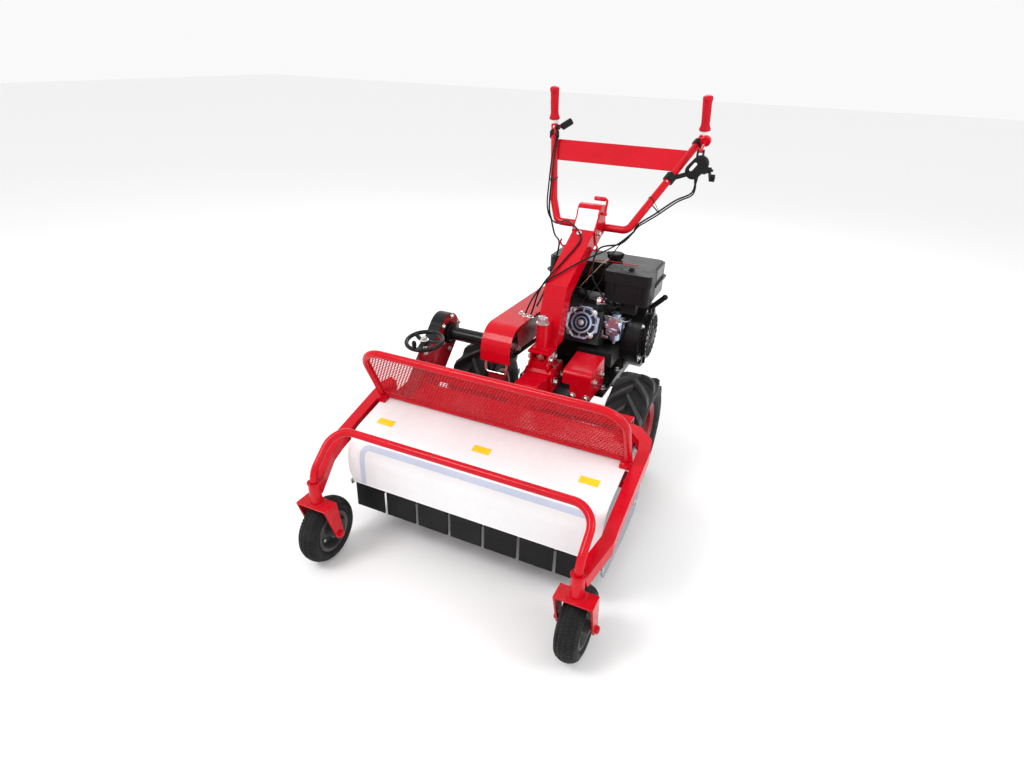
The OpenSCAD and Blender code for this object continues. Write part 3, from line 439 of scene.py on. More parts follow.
def one_bolt(centre, axis, af, washer=True):
    """A washer, a chamfered hexagon head and a slightly domed end."""
    u, v = across(axis)
    axis = axis.normalized()
    r, parts, base = af / sqrt(3), [], 0
    if washer:
        base = af * 0.12
        parts.append(turned(centre, axis, [(af * 0.3, 0), (af * 0.95, 0), (af * 0.95, base * 0.7),
                                           (af * 0.88, base), (af * 0.3, base)], 28))
    rows = [(r, base), (r, base + af * 0.5), (r * 0.86, base + af * 0.62), (r * 0.4, base + af * 0.64)]
    verts = [centre + ((turned_from(u, v, k * pi / 3)) * rad + axis * h) * MM
             for rad, h in rows for k in range(6)]
    faces = [[6 * j + k, 6 * j + (k + 1) % 6, 6 * j + 6 + (k + 1) % 6, 6 * j + 6 + k]
             for j in range(len(rows) - 1) for k in range(6)]
    faces += [[5, 4, 3, 2, 1, 0], [18 + k for k in range(6)]]
    return gather(parts + [(verts, faces)])


def bolts(name, body, spots, af, mat="bolt_zinc", washer=True):
    """One piece with a bolt head at each (centre, axis)."""
    return add(name, body, gather([one_bolt(c, a, af, washer) for c, a in spots]), mat, 0.25, 30)


def weld(name, body, centre, axis, radius, mat="red_paint", thick=2.2):
    """A rippled fillet bead around a round joint."""
    u, v = across(axis)
    dice = random.Random(name)
    verts, faces, n, m = [], [], 120, 8
    for i in range(n):
        a = 2 * pi * i / n
        out = turned_from(u, v, a)
        size = thick * (1 + 0.16 * sin(i * pi / 2) + 0.1 * dice.random())
        middle = centre + out * radius * MM
        verts += [middle + (out * cos(b) + axis.normalized() * sin(b)) * size * MM
                  for b in (2 * pi * k / m for k in range(m))]
    for i in range(n):
        a, b = i * m, (i + 1) % n * m
        faces += [[a + k, b + k, b + (k + 1) % m, a + (k + 1) % m] for k in range(m)]
    return add(name, body, (verts, faces), mat)


# ---------------------------------------------------------------- deck

FOOT, TOP = at(0, 205, 372), at(0, 101, 576)
UP = (TOP - FOOT).normalized()


def guard_sheet():
    """The guard's sheet, pierced all over by slanted slots."""
    pitch, rise, half, low, high = 9.6, 8.6, 379, 24, 218
    verts, faces = [], []
    rows = int((high - low) / rise)
    for row in range(rows):
        for col in range(-42, 42):
            u = col * pitch + (row % 2) * pitch / 2
            v = low + row * rise
            corner_out = max(0, abs(u + 4) - (half - 50)), max(0, v + 4 - (high - 46))
            if abs(u + 4) > half or hypot(*corner_out) > 58:
                continue
            outer = [(u, v), (u + pitch, v), (u + pitch, v + rise), (u, v + rise)]
            hole = [(u + 0.9, v + 1.2), (u + 7.4, v + 1.2), (u + 8.7, v + 7.4), (u + 2.2, v + 7.4)]
            start = len(verts)
            verts += [FOOT + X * a * MM + UP * b * MM for a, b in outer + hole]
            faces += [[start + k, start + (k + 1) % 4, start + 4 + (k + 1) % 4, start + 4 + k] for k in range(4)]
    sheet = add("pierced_guard_sheet", "chassis", (verts, faces), "sheet_red")
    thick = sheet.modifiers.new("thick", "SOLIDIFY")
    thick.thickness, thick.offset = 1.2 * MM, 0
    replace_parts(sheet, "guard_mesh")


BEND_R, BEND_Y, BEND_Z, EDGE_Z, SLOPE = 87, 94, 262, 187, radians(13.4)


def on_deck(x, s, lift=0.3):
    """A point on the deck cover: x mm along, s mm up the sheet from its lower edge, lift mm off it."""
    rise = BEND_Z - EDGE_Z
    turn_length = BEND_R * (pi / 2 - SLOPE)
    if s < rise:
        return at(x, BEND_Y - BEND_R - lift, EDGE_Z + s)
    a = min((s - rise) / BEND_R, pi / 2 - SLOPE)
    r = BEND_R + lift
    point = at(x, BEND_Y - r * cos(a), BEND_Z + r * sin(a))
    return point + Vector((0, cos(SLOPE), sin(SLOPE))) * max(0, s - rise - turn_length) * MM


def skin(name, paths, mat, lift=0.35):
    """A thin film on the deck between two lines of (x, s)."""
    verts, faces = [], []
    for (xa, sa), (xb, sb) in zip(*paths):
        verts += [on_deck(xa, sa, lift), on_deck(xb, sb, lift), on_deck(xa, sa, 0.02), on_deck(xb, sb, 0.02)]
    for i in range(len(paths[0]) - 1):
        a, b = 4 * i, 4 * i + 4
        faces += [[a, a + 1, b + 1, b], [a + 2, b + 2, b + 3, a + 3], [a, b, b + 2, a + 2],
                [a + 1, a + 3, b + 3, b + 1]]
    last = len(verts) - 4
    faces += [[0, 2, 3, 1], [last, last + 1, last + 3, last + 2]]
    return add(name, "chassis", (verts, faces), mat, smooth=60)


def deck_trim():
    """The stripe along the front, blank labels, and the folded lower hem."""
    wide, left, level, corner = 17, -348, 136, 30
    inner, outer = [], []
    for s in range(4, level - corner, 6):
        outer.append((left, s))
        inner.append((left + wide, s))
    for k in range(9):
        a = pi - k * pi / 16
        centre = (left + corner, level - corner)
        outer.append((centre[0] + corner * cos(a), centre[1] + corner * sin(a)))
        inner.append((centre[0] + (corner - wide) * cos(a), centre[1] + (corner - wide) * sin(a)))
    for x in range(left + corner + 10, 386, 24):
        outer.append((x, level))
        inner.append((x, level - wide))
    skin("deck_stripe", (outer, inner), "blue_stripe")
    for i, x in enumerate((-318, 0, 316)):
        s0 = 212
        skin(f"yellow_label_{i}", ([(x - 27 + 6 * k, s0) for k in range(10)],
                                   [(x - 27 + 6 * k, s0 + 24) for k in range(10)]), "yellow_label", 0.5)
    path = [on_deck(x, 2, 0.9) for x in range(-370, 371, 20)]
    add("deck_hem", "chassis", swept(path, ring(1.9, 12)), "deck_paint")


def side_details():
    """Bearing bolts, flap rod ends and the bolts that hold the arms."""
    spots = []
    for s in (-1, 1):
        out = X * s
        spots += [(at(s * 389.1, 185 + a * 32, 200 + b * 32), out) for a in (-1, 1) for b in (-1, 1)]
        spots += [(at(s * 384.1, y, z), out) for y,
                z in ((60, 120), (60, 240), (330, 330), (400, 210), (395, 110))]
    bolts("side_plate_bolts", "chassis", spots, 12)
    bolts("flap_rod_nuts", "chassis", [(at(s * 388, 19, 178), X * s) for s in (-1, 1)], 11)
    bolts("deck_rear_bolts", "chassis", [(at(x, 216, 378.2), Z) for x in (-330, -165, 0, 165, 330)], 11)
    caps = [turned(at(s * 398, *ROTOR), X * s, [(1, 0), (14.8, 0), (14.8, 1.5), (12, 3), (1, 3)], 40)
            for s in (-1, 1)]
    add("rotor_end_caps", "rotor", gather(caps), "bolt_zinc")


def casters():
    """Rim bolts, valves, the socket's and fork's welds, and the tyres."""
    for side, s in (("left", -1), ("right", 1)):
        x, body = s * 385, f"{side}_caster_wheel"
        spots = []
        for face in (-1, 1):
            for k in range(5):
                a = radians(72 * k)
                spots.append((at(x + face * 9.6, -121 + 34 * cos(a), 99 + 34 * sin(a)), X * face))
        bolts(f"{side}_rim_bolts", body, spots, 9, washer=False)
        valve = [at(x + 8, -121 + 50, 99 + 10), at(x + 18, -121 + 47, 99 + 12), at(x + 27, -121 + 44, 99 + 13)]
        tube(f"{side}_valve", body, valve, 3, "belt_rubber", 4, 12)
        weld(f"{side}_socket_weld", "chassis", at(x, -146, 277), Z, 17.5)
        weld(f"{side}_fork_weld", f"{side}_fork", at(x, -146, 209.6), Z, 23.5)
        caster_tyre(side, x)


def caster_tyre(side, x):
    """A tyre with side ribs and five rows of fine tread blocks."""
    w, r = 31, 97.2
    crown = lambda k: (r - 29 + 29 * cos(k), w * sin(k) / sin(radians(70)))
    arc_points = [crown(radians(a)) for a in range(-62, 63, 4)]
    outer = [(55.2, -21), (61, -23.4), (63, -26), (66, -26.5), (68, -29.4), (74, -30.9), (78, -30.8)] + arc_points
    outer += [(78, 30.8), (74, 30.9), (68, 29.4), (66, 26.5), (63, 26), (61, 23.4), (55.2, 21)]
    verts, faces = turned(at(x, -121, 99), X, [(rad - 1.7 if rad > 80 else rad, h) for rad, h in outer]
                          + [(55.2, 10), (55.2, -10)], 128)
    blocks = []
    for row, angle in enumerate((-44, -22, 0, 22, 44)):
        count, a = 62, radians(angle)
        rad, h = crown(a)
        out = (cos(a), sin(a))
        for k in range(count):
            turn = 2 * pi * (k + 0.5 * (row % 2)) / count
            radial = turned_from(Y, Z, turn)
            around = Z * cos(turn) - Y * sin(turn)
            normal = (radial * out[0] + X * out[1]).normalized()
            along = around.cross(normal)
            foot = at(x, -121, 99) + (radial * (rad - 2.2) + X * h) * MM
            lean = around + along * 0.35 * (1 if row % 2 else -1)
            blocks.append(prism(foot, lean, along, [(-3.2, -4.1), (3.2, -4.1), (3.2, 4.1), (-3.2, 4.1)], -2.4))
    name = f"{side}_tread"
    tyre = add(name, f"{side}_caster_wheel", gather([(verts, faces)] + blocks), "tyre_rubber", smooth=30)
    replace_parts(tyre, f"{side}_caster_tyre")


# ---------------------------------------------------------------- drive tyres

DRIVE = at(0, *AXLE)
TYRE_X, TYRE_R, RIM_R, LUGS = 279, 198, 102, 14


def carcass_radius(h):
    """The carcass's radius at h mm from the tyre's middle."""
    t = abs(h) / 56
    return TYRE_R - 17 - 5 * t * t


def tractor_tyre(s):
    """A ribbed carcass with arrow lugs that taper and bend over the shoulder."""
    side = [(RIM_R + 1, 49), (RIM_R + 9, 53), (RIM_R + 12, 57), (RIM_R + 20, 62.5), (RIM_R + 23, 62.6),
            (RIM_R + 24, 64.4), (RIM_R + 38, 68.6), (RIM_R + 52, 69), (RIM_R + 54, 67.6), (RIM_R + 62, 66),
            (TYRE_R - 25, 62), (TYRE_R - 20.5, 56)]
    crown = [(carcass_radius(h), h) for h in range(48, -49, -8)]
    profile = side + crown + [(r, -h) for r, h in side[::-1]] + [(RIM_R + 1, -30), (RIM_R + 1, 30)]
    centre = DRIVE + X * s * TYRE_X * MM
    word = side_word(s)
    bars = [lug(centre, 2 * pi * (k + (0.5 if hand > 0 else 0)) / LUGS, hand) for k in range(LUGS)
            for hand in (-1, 1)]
    # The lugs take the lighter copy of the tyre's rubber: painted light on the lug tops.
    add(f"{word}_lugs", "drive_wheels", gather(bars), "lit_lug_rubber", 0.9, 30)
    name = f"{word}_tractor_tyre"
    carcass = turned(centre, X, profile[::-1], 144)
    return add(name, "drive_wheels", carcass, "tyre_rubber", smooth=30)


def lug(centre, angle, hand):
    """One lug: it starts just past the middle, leans back and runs down the shoulder."""
    stations = [(-3, 0), (8, 0), (22, 0), (36, 0), (50, 0), (60, 3), (66, 14), (68.5, 30)]
    verts, faces = [], []
    for i, (h, drop) in enumerate(stations):
        turn = angle + 0.0062 * h + 0.002 * drop
        radial = turned_from(Y, Z, turn)
        around = Z * cos(turn) - Y * sin(turn)
        base = (carcass_radius(min(h, 52)) - 2 - drop * 1.1)
        top = TYRE_R - 0.6 - 0.0008 * h * h - drop * 1.05 if drop < 14 else base + 4 + (30 - drop) * 0.18
        thick = 8.5 + 0.06 * h
        place = centre + X * hand * h * MM
        for rad, half in ((base, thick + 2.2), (top, thick - 1.2)):
            verts += [place + (radial * rad + around * half) * MM, place + (radial * rad - around * half) * MM]
        if i:
            a, b = 4 * (i - 1), 4 * i
            faces += [[a, b, b + 2, a + 2], [a + 2, b + 2, b + 3, a + 3], [a + 3, b + 3, b + 1, a + 1],
                    [a + 1, b + 1, b, a]]
    last = len(verts) - 4
    faces += [[0, 2, 3, 1], [last, last + 1, last + 3, last + 2]]
    return verts, faces


def drive_wheels():
    made = [tractor_tyre(-1), tractor_tyre(1)]
    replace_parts(made[0], "drive_tyres")
    spots = []
    for s in (-1, 1):
        for k in range(4):
            a = radians(45 + 90 * k)
            spots.append((DRIVE + X * s * 284 * MM + (turned_from(Y, Z, a)) * 36 * MM, X * s))
        tube(f"drive_valve_{side_word(s)}", "drive_wheels",
             [DRIVE + (X * s * 289 + Z * 84) * MM, DRIVE + (X * s * 300 + Z * 82) * MM,
             DRIVE + (X * s * 312 + Z * 80) * MM],
             3.4, "belt_rubber", 4, 12)
    bolts("wheel_nuts", "drive_wheels", spots, 17)
    hubs = [turned(DRIVE + X * s * 302 * MM, X * s, [(1, 0), (14.6, 0), (14.6, 0.8), (13, 2.2), (1, 2.2)], 40)
            for s in (-1, 1)]
    add("axle_end_chamfers", "drive_wheels", gather(hubs), "bolt_zinc")


# ---------------------------------------------------------------- column and cables

def points(*rows):
    return [at(*row) for row in rows]


CLUTCH_UPPER = points((-246, 1168, 1070), (-232, 1140, 1040), (-216, 1080, 1000), (-190, 1000, 935),
                      (-164, 926, 850), (-150, 921, 807))
THROTTLE_UPPER = points((296, 1110, 961), (290, 1100, 920), (250, 1040, 900), (200, 980, 860),
                        (160, 936, 830), (150, 921, 807))
CLUTCH_LOWER = points((-150, 921, 807), (-149, 918, 804), (-120, 880, 770), (-70, 798, 764), (-64, 740, 700),
                      (-74, 690, 620), (-84, 660, 580))
THROTTLE_LOWER = points((150, 921, 807), (149, 918, 804), (120, 880, 770), (70, 798, 764), (74, 744, 690),
                        (128, 728, 622), (150, 752, 566))
FRONT_LOOP = points((-150, 921, 807), (-116, 893, 806), (-74, 864, 826), (-30, 836, 816), (2, 806, 796.5),
        (6, 770, 776.5),
                    (-16, 690, 732.5), (-38, 613, 692), (-54, 594, 652), (-64, 585, 606), (-72, 583, 577))
CROSS_LOOP = points((150, 921, 807), (122, 880, 778), (92, 826, 758), (60, 750, 748), (28, 690, 733),
        (0, 655, 714), (-30, 618, 694),
                    (-48, 600, 672), (-74, 590, 626), (-92, 584, 577))
CHOKE_LINE = points((150, 921, 807), (108, 880, 752), (92, 830, 700), (96, 770, 668), (60, 716, 612),
        (44, 700, 584))


def run_cable(name, route, thick=6.0, swivels=None, body="handlebar", shift=(0, 0, 0), replaced=None, n=8):
    """A control cable, held at both ends; with swivels it crosses from the column to the chassis."""
    path = smooth_path(route, n)
    path = [p + Vector(shift) * MM * min(1, 4 * k / len(path), 4 * (1 - (k + 1) / len(path))) for k,
            p in enumerate(path)]
    mesh = mesh_of(name, *swept(path, ring(thick / 2, 16)))
    mesh.shade_smooth()
    mesh.materials.append(M["cable_sheath"])
    piece = bpy.data.objects.new(name, mesh)
    bpy.context.collection.objects.link(piece)
    if swivels:
        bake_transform(piece)
    else:
        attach(piece, body)
    if replaced:
        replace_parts(piece, replaced)
    return path


def tie(name, body, a, b, ra, rb):
    """A flat plastic band pulled round two round things."""
    u = (b - a).normalized()
    v = u.cross(LEG if a.x > 0 else FLIP_LEG).normalized()
    loop = []
    for k in range(40):
        d = turned_from(u, v, pi * k / 20)
        loop.append(max((c + d * (r + 1.0) * MM for c, r in ((a, ra), (b, rb))), key=lambda p, d=d: p.dot(d)))
    add(name, body, swept(loop, [(-0.8, -2), (0.8, -2), (0.8, 2), (-0.8, 2)], True), "cable_sheath")


LEG_FOOT = at(165, 968, 872)
LEG = (at(281, 1228, 1092) - LEG_FOOT).normalized()
FLIP_LEG = Vector((-LEG.x, LEG.y, LEG.z))


def on_leg(z, s=1):
    p = LEG_FOOT + LEG * ((z * MM - LEG_FOOT.z) / LEG.z)
    return Vector((p.x * s, p.y, p.z))


def cables():
    run_cable("clutch_cable_upper", CLUTCH_UPPER, replaced="upper_cables")
    run_cable("throttle_cable_upper", THROTTLE_UPPER)
    run_cable("lock_cable_upper", CLUTCH_UPPER, 5.0, shift=(-8, -3, -2))
    run_cable("stop_cable_upper", THROTTLE_UPPER, 5.0, shift=(8, -3, -3))
    lathe("housing_boot", "handlebar", at(296, 1110, 972), -Z, [(1, 0), (7, 0), (6.4, 8), (4.2, 22), (1, 22)],
            "black_plastic", 32)
    collar = at(-246, 1172, 1076)
    lathe("clutch_cable_boot", "handlebar", collar, at(-232, 1140, 1040) - collar,
            [(1, 0), (5.4, 0), (5, 8), (4, 26), (1, 26)], "black_plastic", 32)
    turn = at(0, 790, 750), at(0, 720, 610)
    run_cable("clutch_cable_lower", CLUTCH_LOWER, swivels=turn, replaced="lower_cables")
    run_cable("throttle_cable_lower", THROTTLE_LOWER, swivels=turn)
    run_cable("choke_line", CHOKE_LINE, 3.4, swivels=turn)
    front = at(0, 607, 688), at(0, 586, 596)
    run_cable("front_loop_cable", FRONT_LOOP, 5.4, swivels=front)
    run_cable("cross_loop_cable", CROSS_LOOP, 5.0, swivels=front)
    tie("leg_tie_right", "handlebar", on_leg(898), at(208, 991, 868), 13, 3)
    tie("leg_tie_left", "handlebar", on_leg(930, -1), at(-187, 992, 929), 13, 3)
    bolts("cable_stop_bolts", "chassis",
            [(at(-72, 583, 570.2), Z), (at(-92, 584, 570.2), Z), (at(-112, 600, 569.7), Z)], 11)


def yz_prism(name, body, x0, x1, outline, mat, bevel=0.0):
    return add(name, body, prism(at(x0, 0, 0), Y, Z, outline, x1 - x0), mat, bevel)


def column_details():
    """Blank label over the head's face, its bolt, the fold's crease, welds and the pivot's bolt."""
    face = [(834 + 0.634 * k, 806 + 0.773 * k) for k in (6, 22, 40, 56)]
    crown = [(904 + 34 * cos(radians(a)), 852 + 34 * sin(radians(a))) for a in (178, 166, 154, 143)]
    inner = face + crown
    outer = [(y - 0.55, z + 0.35) for y, z in inner]
    yz_prism("head_label", "column", -36, 35, inner + outer[::-1], "white_label")
    bolts("head_bolt", "column", [(at(-12, 826, 801.8), Vector((0, -0.481, 0.877)))], 10)
    crease = [at(x, 608.2, 682.2) for x in range(-36, 37, 6)]
    add("column_crease", "column", swept(crease, ring(1.3, 10)), "red_paint")
    side = [(X * s, s) for s in (-1, 1)]
    bolts("head_side_bolts", "column", [(at(s * 41, 868, 796), out) for out, s in side], 13)
    bolts("bar_end_collars", "column", [(at(-41, 900, 838), -X)], 13)
    weld("foot_weld", "column", at(0, 512, 586), Z, 18.5)
    for out, s in side:
        weld(f"bar_boss_weld_{side_word(s)}", "column", at(s * 41, *BAR), out, 15.5)
    lathe("pivot_washer", "chassis", at(0, 512, 589), Z, [(9.4, 0), (21, 0), (21, 2.4), (9.4, 2.4)], "bolt_zinc")
    lathe("pivot_thread", "chassis", at(0, 512, 606), Z,
          [(1, 0), (8.6, 0)] + [(8.6 - 0.7 * (k % 2), 0.6 + 0.6 * k) for k in range(9)] + [(1, 6)], "bolt_zinc")
    bolts("yoke_bolts", "chassis", [(at(s * 31, y, 470), X * s) for s in (-1, 1) for y in (512, 545)], 15)
    bolts("hitch_side_bolts", "chassis", [(at(s * 50, y, 395), X * s) for s in (-1, 1) for y in (515, 575)], 15)
    for s, word in ((-1, "left"), (1, "right")):
        rib = [(492, 437), (492, 456), (498, 462), (506, 437)]
        yz_prism(f"yoke_gusset_{word}", "chassis", s * 31 - 3, s * 31 + 3, [(y - 4, z) for y, z in rib],
                "red_paint", 0.6)


# ---------------------------------------------------------------- handlebar controls

GRIP_DIR = (at(279, 1206, 1208) - at(281, 1228, 1092)).normalized()


def grip(s):
    """A moulded grip: flared foot, fluted and ringed middle, mushroom end; and the pale collar below it."""
    direction = Vector((-s * abs(GRIP_DIR.x), GRIP_DIR.y, GRIP_DIR.z))
    foot = at(s * 281, 1228, 1092)
    u, v = across(direction)
    profile = [(13.3, 20), (19.4, 20), (19.8, 22.5), (19.0, 27), (16.4, 33), (14.9, 40)]
    profile += [(14.3 + 0.4 * sin(k * 1.57) + 0.6 * sin(pi * k / 26), 40 + 2.6 * k) for k in range(1, 27)]
    profile += [(14.9, 111), (16.4, 117), (17.4, 122), (17.4, 126), (15.6, 130.4), (11, 133.2), (4, 134),
            (0.6, 134), (0.6, 126), (13.3, 124)]
    verts, faces, n, around = [], [], len(profile), 64
    for i in range(around):
        a = 2 * pi * i / around
        out = turned_from(u, v, a)
        for r, h in profile:
            flute = 0.35 * cos(16 * a) if 40 < h < 110 and r > 13.5 else 0
            verts.append(foot + (out * (r + flute) + direction * h) * MM)
    for i in range(around):
        a, b = i * n, (i + 1) % around * n
        faces += [[a + k, b + k, b + (k + 1) % n, a + (k + 1) % n] for k in range(n)]
    word = side_word(s)
    piece = add(f"{word}_grip", "handlebar", (verts, faces), "grip_rubber", smooth=50)
    lathe(f"{word}_grip_collar", "handlebar", foot, direction,
            [(13.1, 4), (16.4, 4), (16.8, 6), (16.8, 17), (16.2, 19.6), (13.1, 19.6)], "white_label")
    return piece


def bail_sleeve():
    lathe("bail_sleeve", "lock_handle", at(7, 907, 904), X,
            [(4, 0), (6.4, 0), (7.2, 1.4), (7.2, 37), (6.4, 38.4), (4, 38.4)], "red_plastic", 32)


def stadium(a, b, r, n=12):
    """An outline round two points, r away."""
    base = atan2(b[1] - a[1], b[0] - a[0])
    out = []
    for centre, start in ((b, -pi / 2), (a, pi / 2)):
        out += [(centre[0] + r * cos(base + start + pi * k / n),
                 centre[1] + r * sin(base + start + pi * k / n)) for k in range(n + 1)]
    return out


def xz_prism(name, body, y0, y1, outline, mat, bevel=0.0):
    return add(name, body, prism(at(0, y1, 0), X, Z, outline, y1 - y0), mat, bevel)


def controls():
    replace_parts(grip(-1), "grips")
    grip(1)
    shell = xz_prism("throttle_housing", "handlebar", 1096, 1124, stadium((283, 991), (304, 1017), 27),
            "black_plastic", 6)
    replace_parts(shell, "throttle_box")
    xz_prism("throttle_face", "handlebar", 1093, 1098, stadium((284, 992), (303, 1015), 20), "black_plastic", 1.6)
    xz_prism("throttle_sticker", "handlebar", 1092.4, 1093.2, stadium((277, 998), (290, 1016), 5.5),
            "white_label")
    lathe("throttle_pin_boss", "handlebar", at(300, 1112, 998), X,
          [(1, 0), (15, 0), (15, 22), (12, 27), (10, 31.5), (4, 31.5), (4, 48), (1, 48)], "black_plastic")
    clamp = on_leg(964)
    lathe("throttle_clamp", "handlebar", clamp - LEG * 14 * MM, LEG,
          [(13.05, 0), (17.5, 0), (19, 1.5), (19, 26.5), (17.5, 28), (13.05, 28)], "black_plastic")
    tube("throttle_arm", "handlebar", [clamp, (clamp + at(270, 1109, 980)) / 2, at(276, 1109, 984)], 8,
            "black_plastic")
    bolts("clamp_screws", "handlebar", [(clamp + (LEG * k - Y * 19) * MM, -Y) for k in (-8, 8)], 6, "bolt_zinc",
            False)
    for x in (286, 305):
        yz_prism(f"stop_ear_{x}", "handlebar", x, x + 5,
                [(1103, 1030), (1121, 1030), (1121, 1056), (1116, 1062), (1108, 1062), (1103, 1056)],
                "black_plastic", 1)
    lathe("stop_pin", "handlebar", at(289, 1112, 1058), X, [(0.6, 0), (3, 0), (3, 19), (0.6, 19)], "bolt_zinc")
    stem = Vector((0, 58, 22)).normalized()
    lathe("stop_knob_dome", "stop_lever", at(298, 1170, 1080) + stem * 14 * MM, stem,
          [(1, -6), (16.2, -6), (18, -3), (17.4, 0), (14, 3.6), (8, 5.6), (1, 6.2)], "red_plastic")
    ball = at(343, 1150, 968)
    lathe("throttle_lever_tip", "throttle_lever", ball - X * 10 * MM, X,
          [(0.5, 0), (5, 0.5), (7.5, 3), (8, 8), (7, 13), (4, 17), (0.5, 18)], "black_plastic")
    top = on_leg(1068)
    lathe("stop_clamp", "handlebar", top - LEG * 10 * MM, LEG,
          [(13.05, 0), (16.6, 0), (18, 1.5), (18, 18.5), (16.6, 20), (13.05, 20)], "black_plastic")
    foot = on_leg(1060, -1)
    lathe("clutch_clamp", "handlebar", foot - FLIP_LEG * 12 * MM, FLIP_LEG,
          [(13.05, 0), (16.6, 0), (18, 1.5), (18, 22.5), (16.6, 24), (13.05, 24)], "black_plastic")
    bolts("clutch_pin_nuts", "handlebar", [(at(-258, 1176, 1088), -X)], 9)
    a, b = at(-240, 1200, 1086), at(-211, 1224, 1108)
    lathe("clutch_lever_grip", "clutch_lever", a, b - a,
          [(0.6, -1.5), (8, -1.2), (12, 0.6)] + [(12.3 + 0.5 * (k % 2), 2.4 + 2.6 * k) for k in range(14)]
          + [(12, 42), (8, 44.6), (0.6, 45)], "black_plastic")


# ---------------------------------------------------------------- engine

TILT = radians(22.3)
BARREL = Vector((0, -cos(TILT), sin(TILT)))
BARREL_UP = Vector((0, sin(TILT), cos(TILT)))


def on_barrel(x, out, up=0):
    """A point by its distance out from the crank along the cylinder."""
    return at(62 + x, *CRANK) + (BARREL * out + BARREL_UP * up) * MM


def octagon(r):
    return [(r * cos(radians(22.5 + 45 * k)), r * sin(radians(22.5 + 45 * k))) for k in range(8)]


def valve_cover():
    """The ringed aluminium cover, its dark panel, ribs and bolts."""
    base = add("valve_cover", "chassis", prism(on_barrel(0, 190), X, BARREL_UP, octagon(61), 12),
            "bare_casting", 2)
    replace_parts(base, "rocker_cover")
    rim = [on_barrel(x * 0.9, 204, z * 0.9) for x, z in octagon(61)]
    loop = [rim[k] + (rim[(k + 1) % 8] - rim[k]) * t for k in range(8) for t in (0.08, 0.5, 0.92)]
    add("valve_cover_rim", "chassis", swept(loop, [(-4, -4.5), (4, -4.5), (4, 4.5), (-4, 4.5)], True),
            "bare_casting", 1.4)
    add("valve_cover_panel", "chassis", prism(on_barrel(0, 201.5), X, BARREL_UP, octagon(49), 3), "cast_metal",
            0.8)
    for name, r0, r1, h in (("valve_cover_ring", 30, 37, 14), ("valve_cover_inner_ring", 17, 22, 13)):
        lathe(name, "chassis", on_barrel(0, 202), BARREL,
                [(r0, 0), (r1 + 1, 0), (r1, h - 2), (r1 - 1.6, h), (r0 + 1.6, h), (r0, h - 2)], "bare_casting")
    lathe("valve_cover_hub", "chassis", on_barrel(0, 202), BARREL,
            [(1, 0), (12, 0), (11, 14), (9, 16.5), (5, 17.5), (1, 17.5)], "bare_casting")
    ribs = []
    for k in range(8):
        a = radians(45 * k)
        u = turned_from(X, BARREL_UP, a)
        v = BARREL.cross(u)
        ribs.append(prism(on_barrel(0, 203), u, v, [(36, -2), (50, -2), (50, 2), (36, 2)],
                8 if u.cross(v).dot(BARREL) > 0 else -8))
    add("valve_cover_ribs", "chassis", gather(ribs), "bare_casting", 0.6)
    spots = [(on_barrel(54 * cos(radians(45 + 90 * k)), 207, 54 * sin(radians(45 + 90 * k))), BARREL)
            for k in range(4)]
    bolts("valve_cover_bolts", "chassis", spots + [(on_barrel(0, 218), BARREL)], 10)
    lathe("plug_cap", "chassis", on_barrel(44, 176, 50), (BARREL + X * 0.8 + BARREL_UP * 0.6).normalized(),
          [(1, 0), (9, 0), (10, 6), (8.5, 14), (9, 24), (6, 30), (1, 31)], "black_plastic")
    tube("plug_lead", "chassis", [on_barrel(62, 196, 66), at(150, 742, 592), at(176, 780, 590),
            at(190, 838, 560), at(196, 860, 545)], 3.5, "cable_sheath")


def carburettor():
    """Flanges, bowl ring and drain bolt, choke lever, governor rod and spring."""
    lathe("carb_flange", "chassis", at(176, 778, 520), X,
            [(12, 0), (29, 0), (30, 2), (30, 9), (28, 12), (12, 12)], "bare_casting")
    lathe("carb_bowl_ring", "chassis", at(160, 778, 506), Z,
            [(20, 0), (25.5, 0), (26, 1.5), (26, 5), (25, 6.5), (20, 6.5)], "bare_casting")
    bolts("carb_bolts", "chassis", [(at(160, 778, 458), -Z), (at(136, 757.5, 520), -Y), (at(170, 760, 536), -Y),
            (at(150, 760, 500), -Y)], 10)
    coil = [at(128 + 1.1 * k, 748 + 4 * cos(k * 0.9), 552 + 4 * sin(k * 0.9)) for k in range(56)]
    add("governor_spring", "chassis", swept(coil, ring(0.8, 8)), "bolt_zinc")
    tube("governor_rod", "chassis", points((120, 750, 556), (150, 744, 560), (196, 752, 548), (206, 800, 540)),
            1.8, "bolt_zinc")
    xz_prism("choke_lever", "chassis", 752, 755,
            [(142, 534), (150, 530), (172, 548), (188, 546), (190, 553), (168, 556)], "bolt_zinc", 0.6)
    xz_prism("throttle_bracket", "chassis", 746, 749,
            [(118, 478), (146, 478), (146, 486), (128, 488), (128, 506), (118, 506)], "bolt_zinc", 0.6)
    xz_prism("carb_gasket", "chassis", 756, 759,
            [(134, 490), (150, 486), (176, 490), (184, 520), (176, 548), (144, 550), (134, 534)],
            "bare_casting", 0.8)


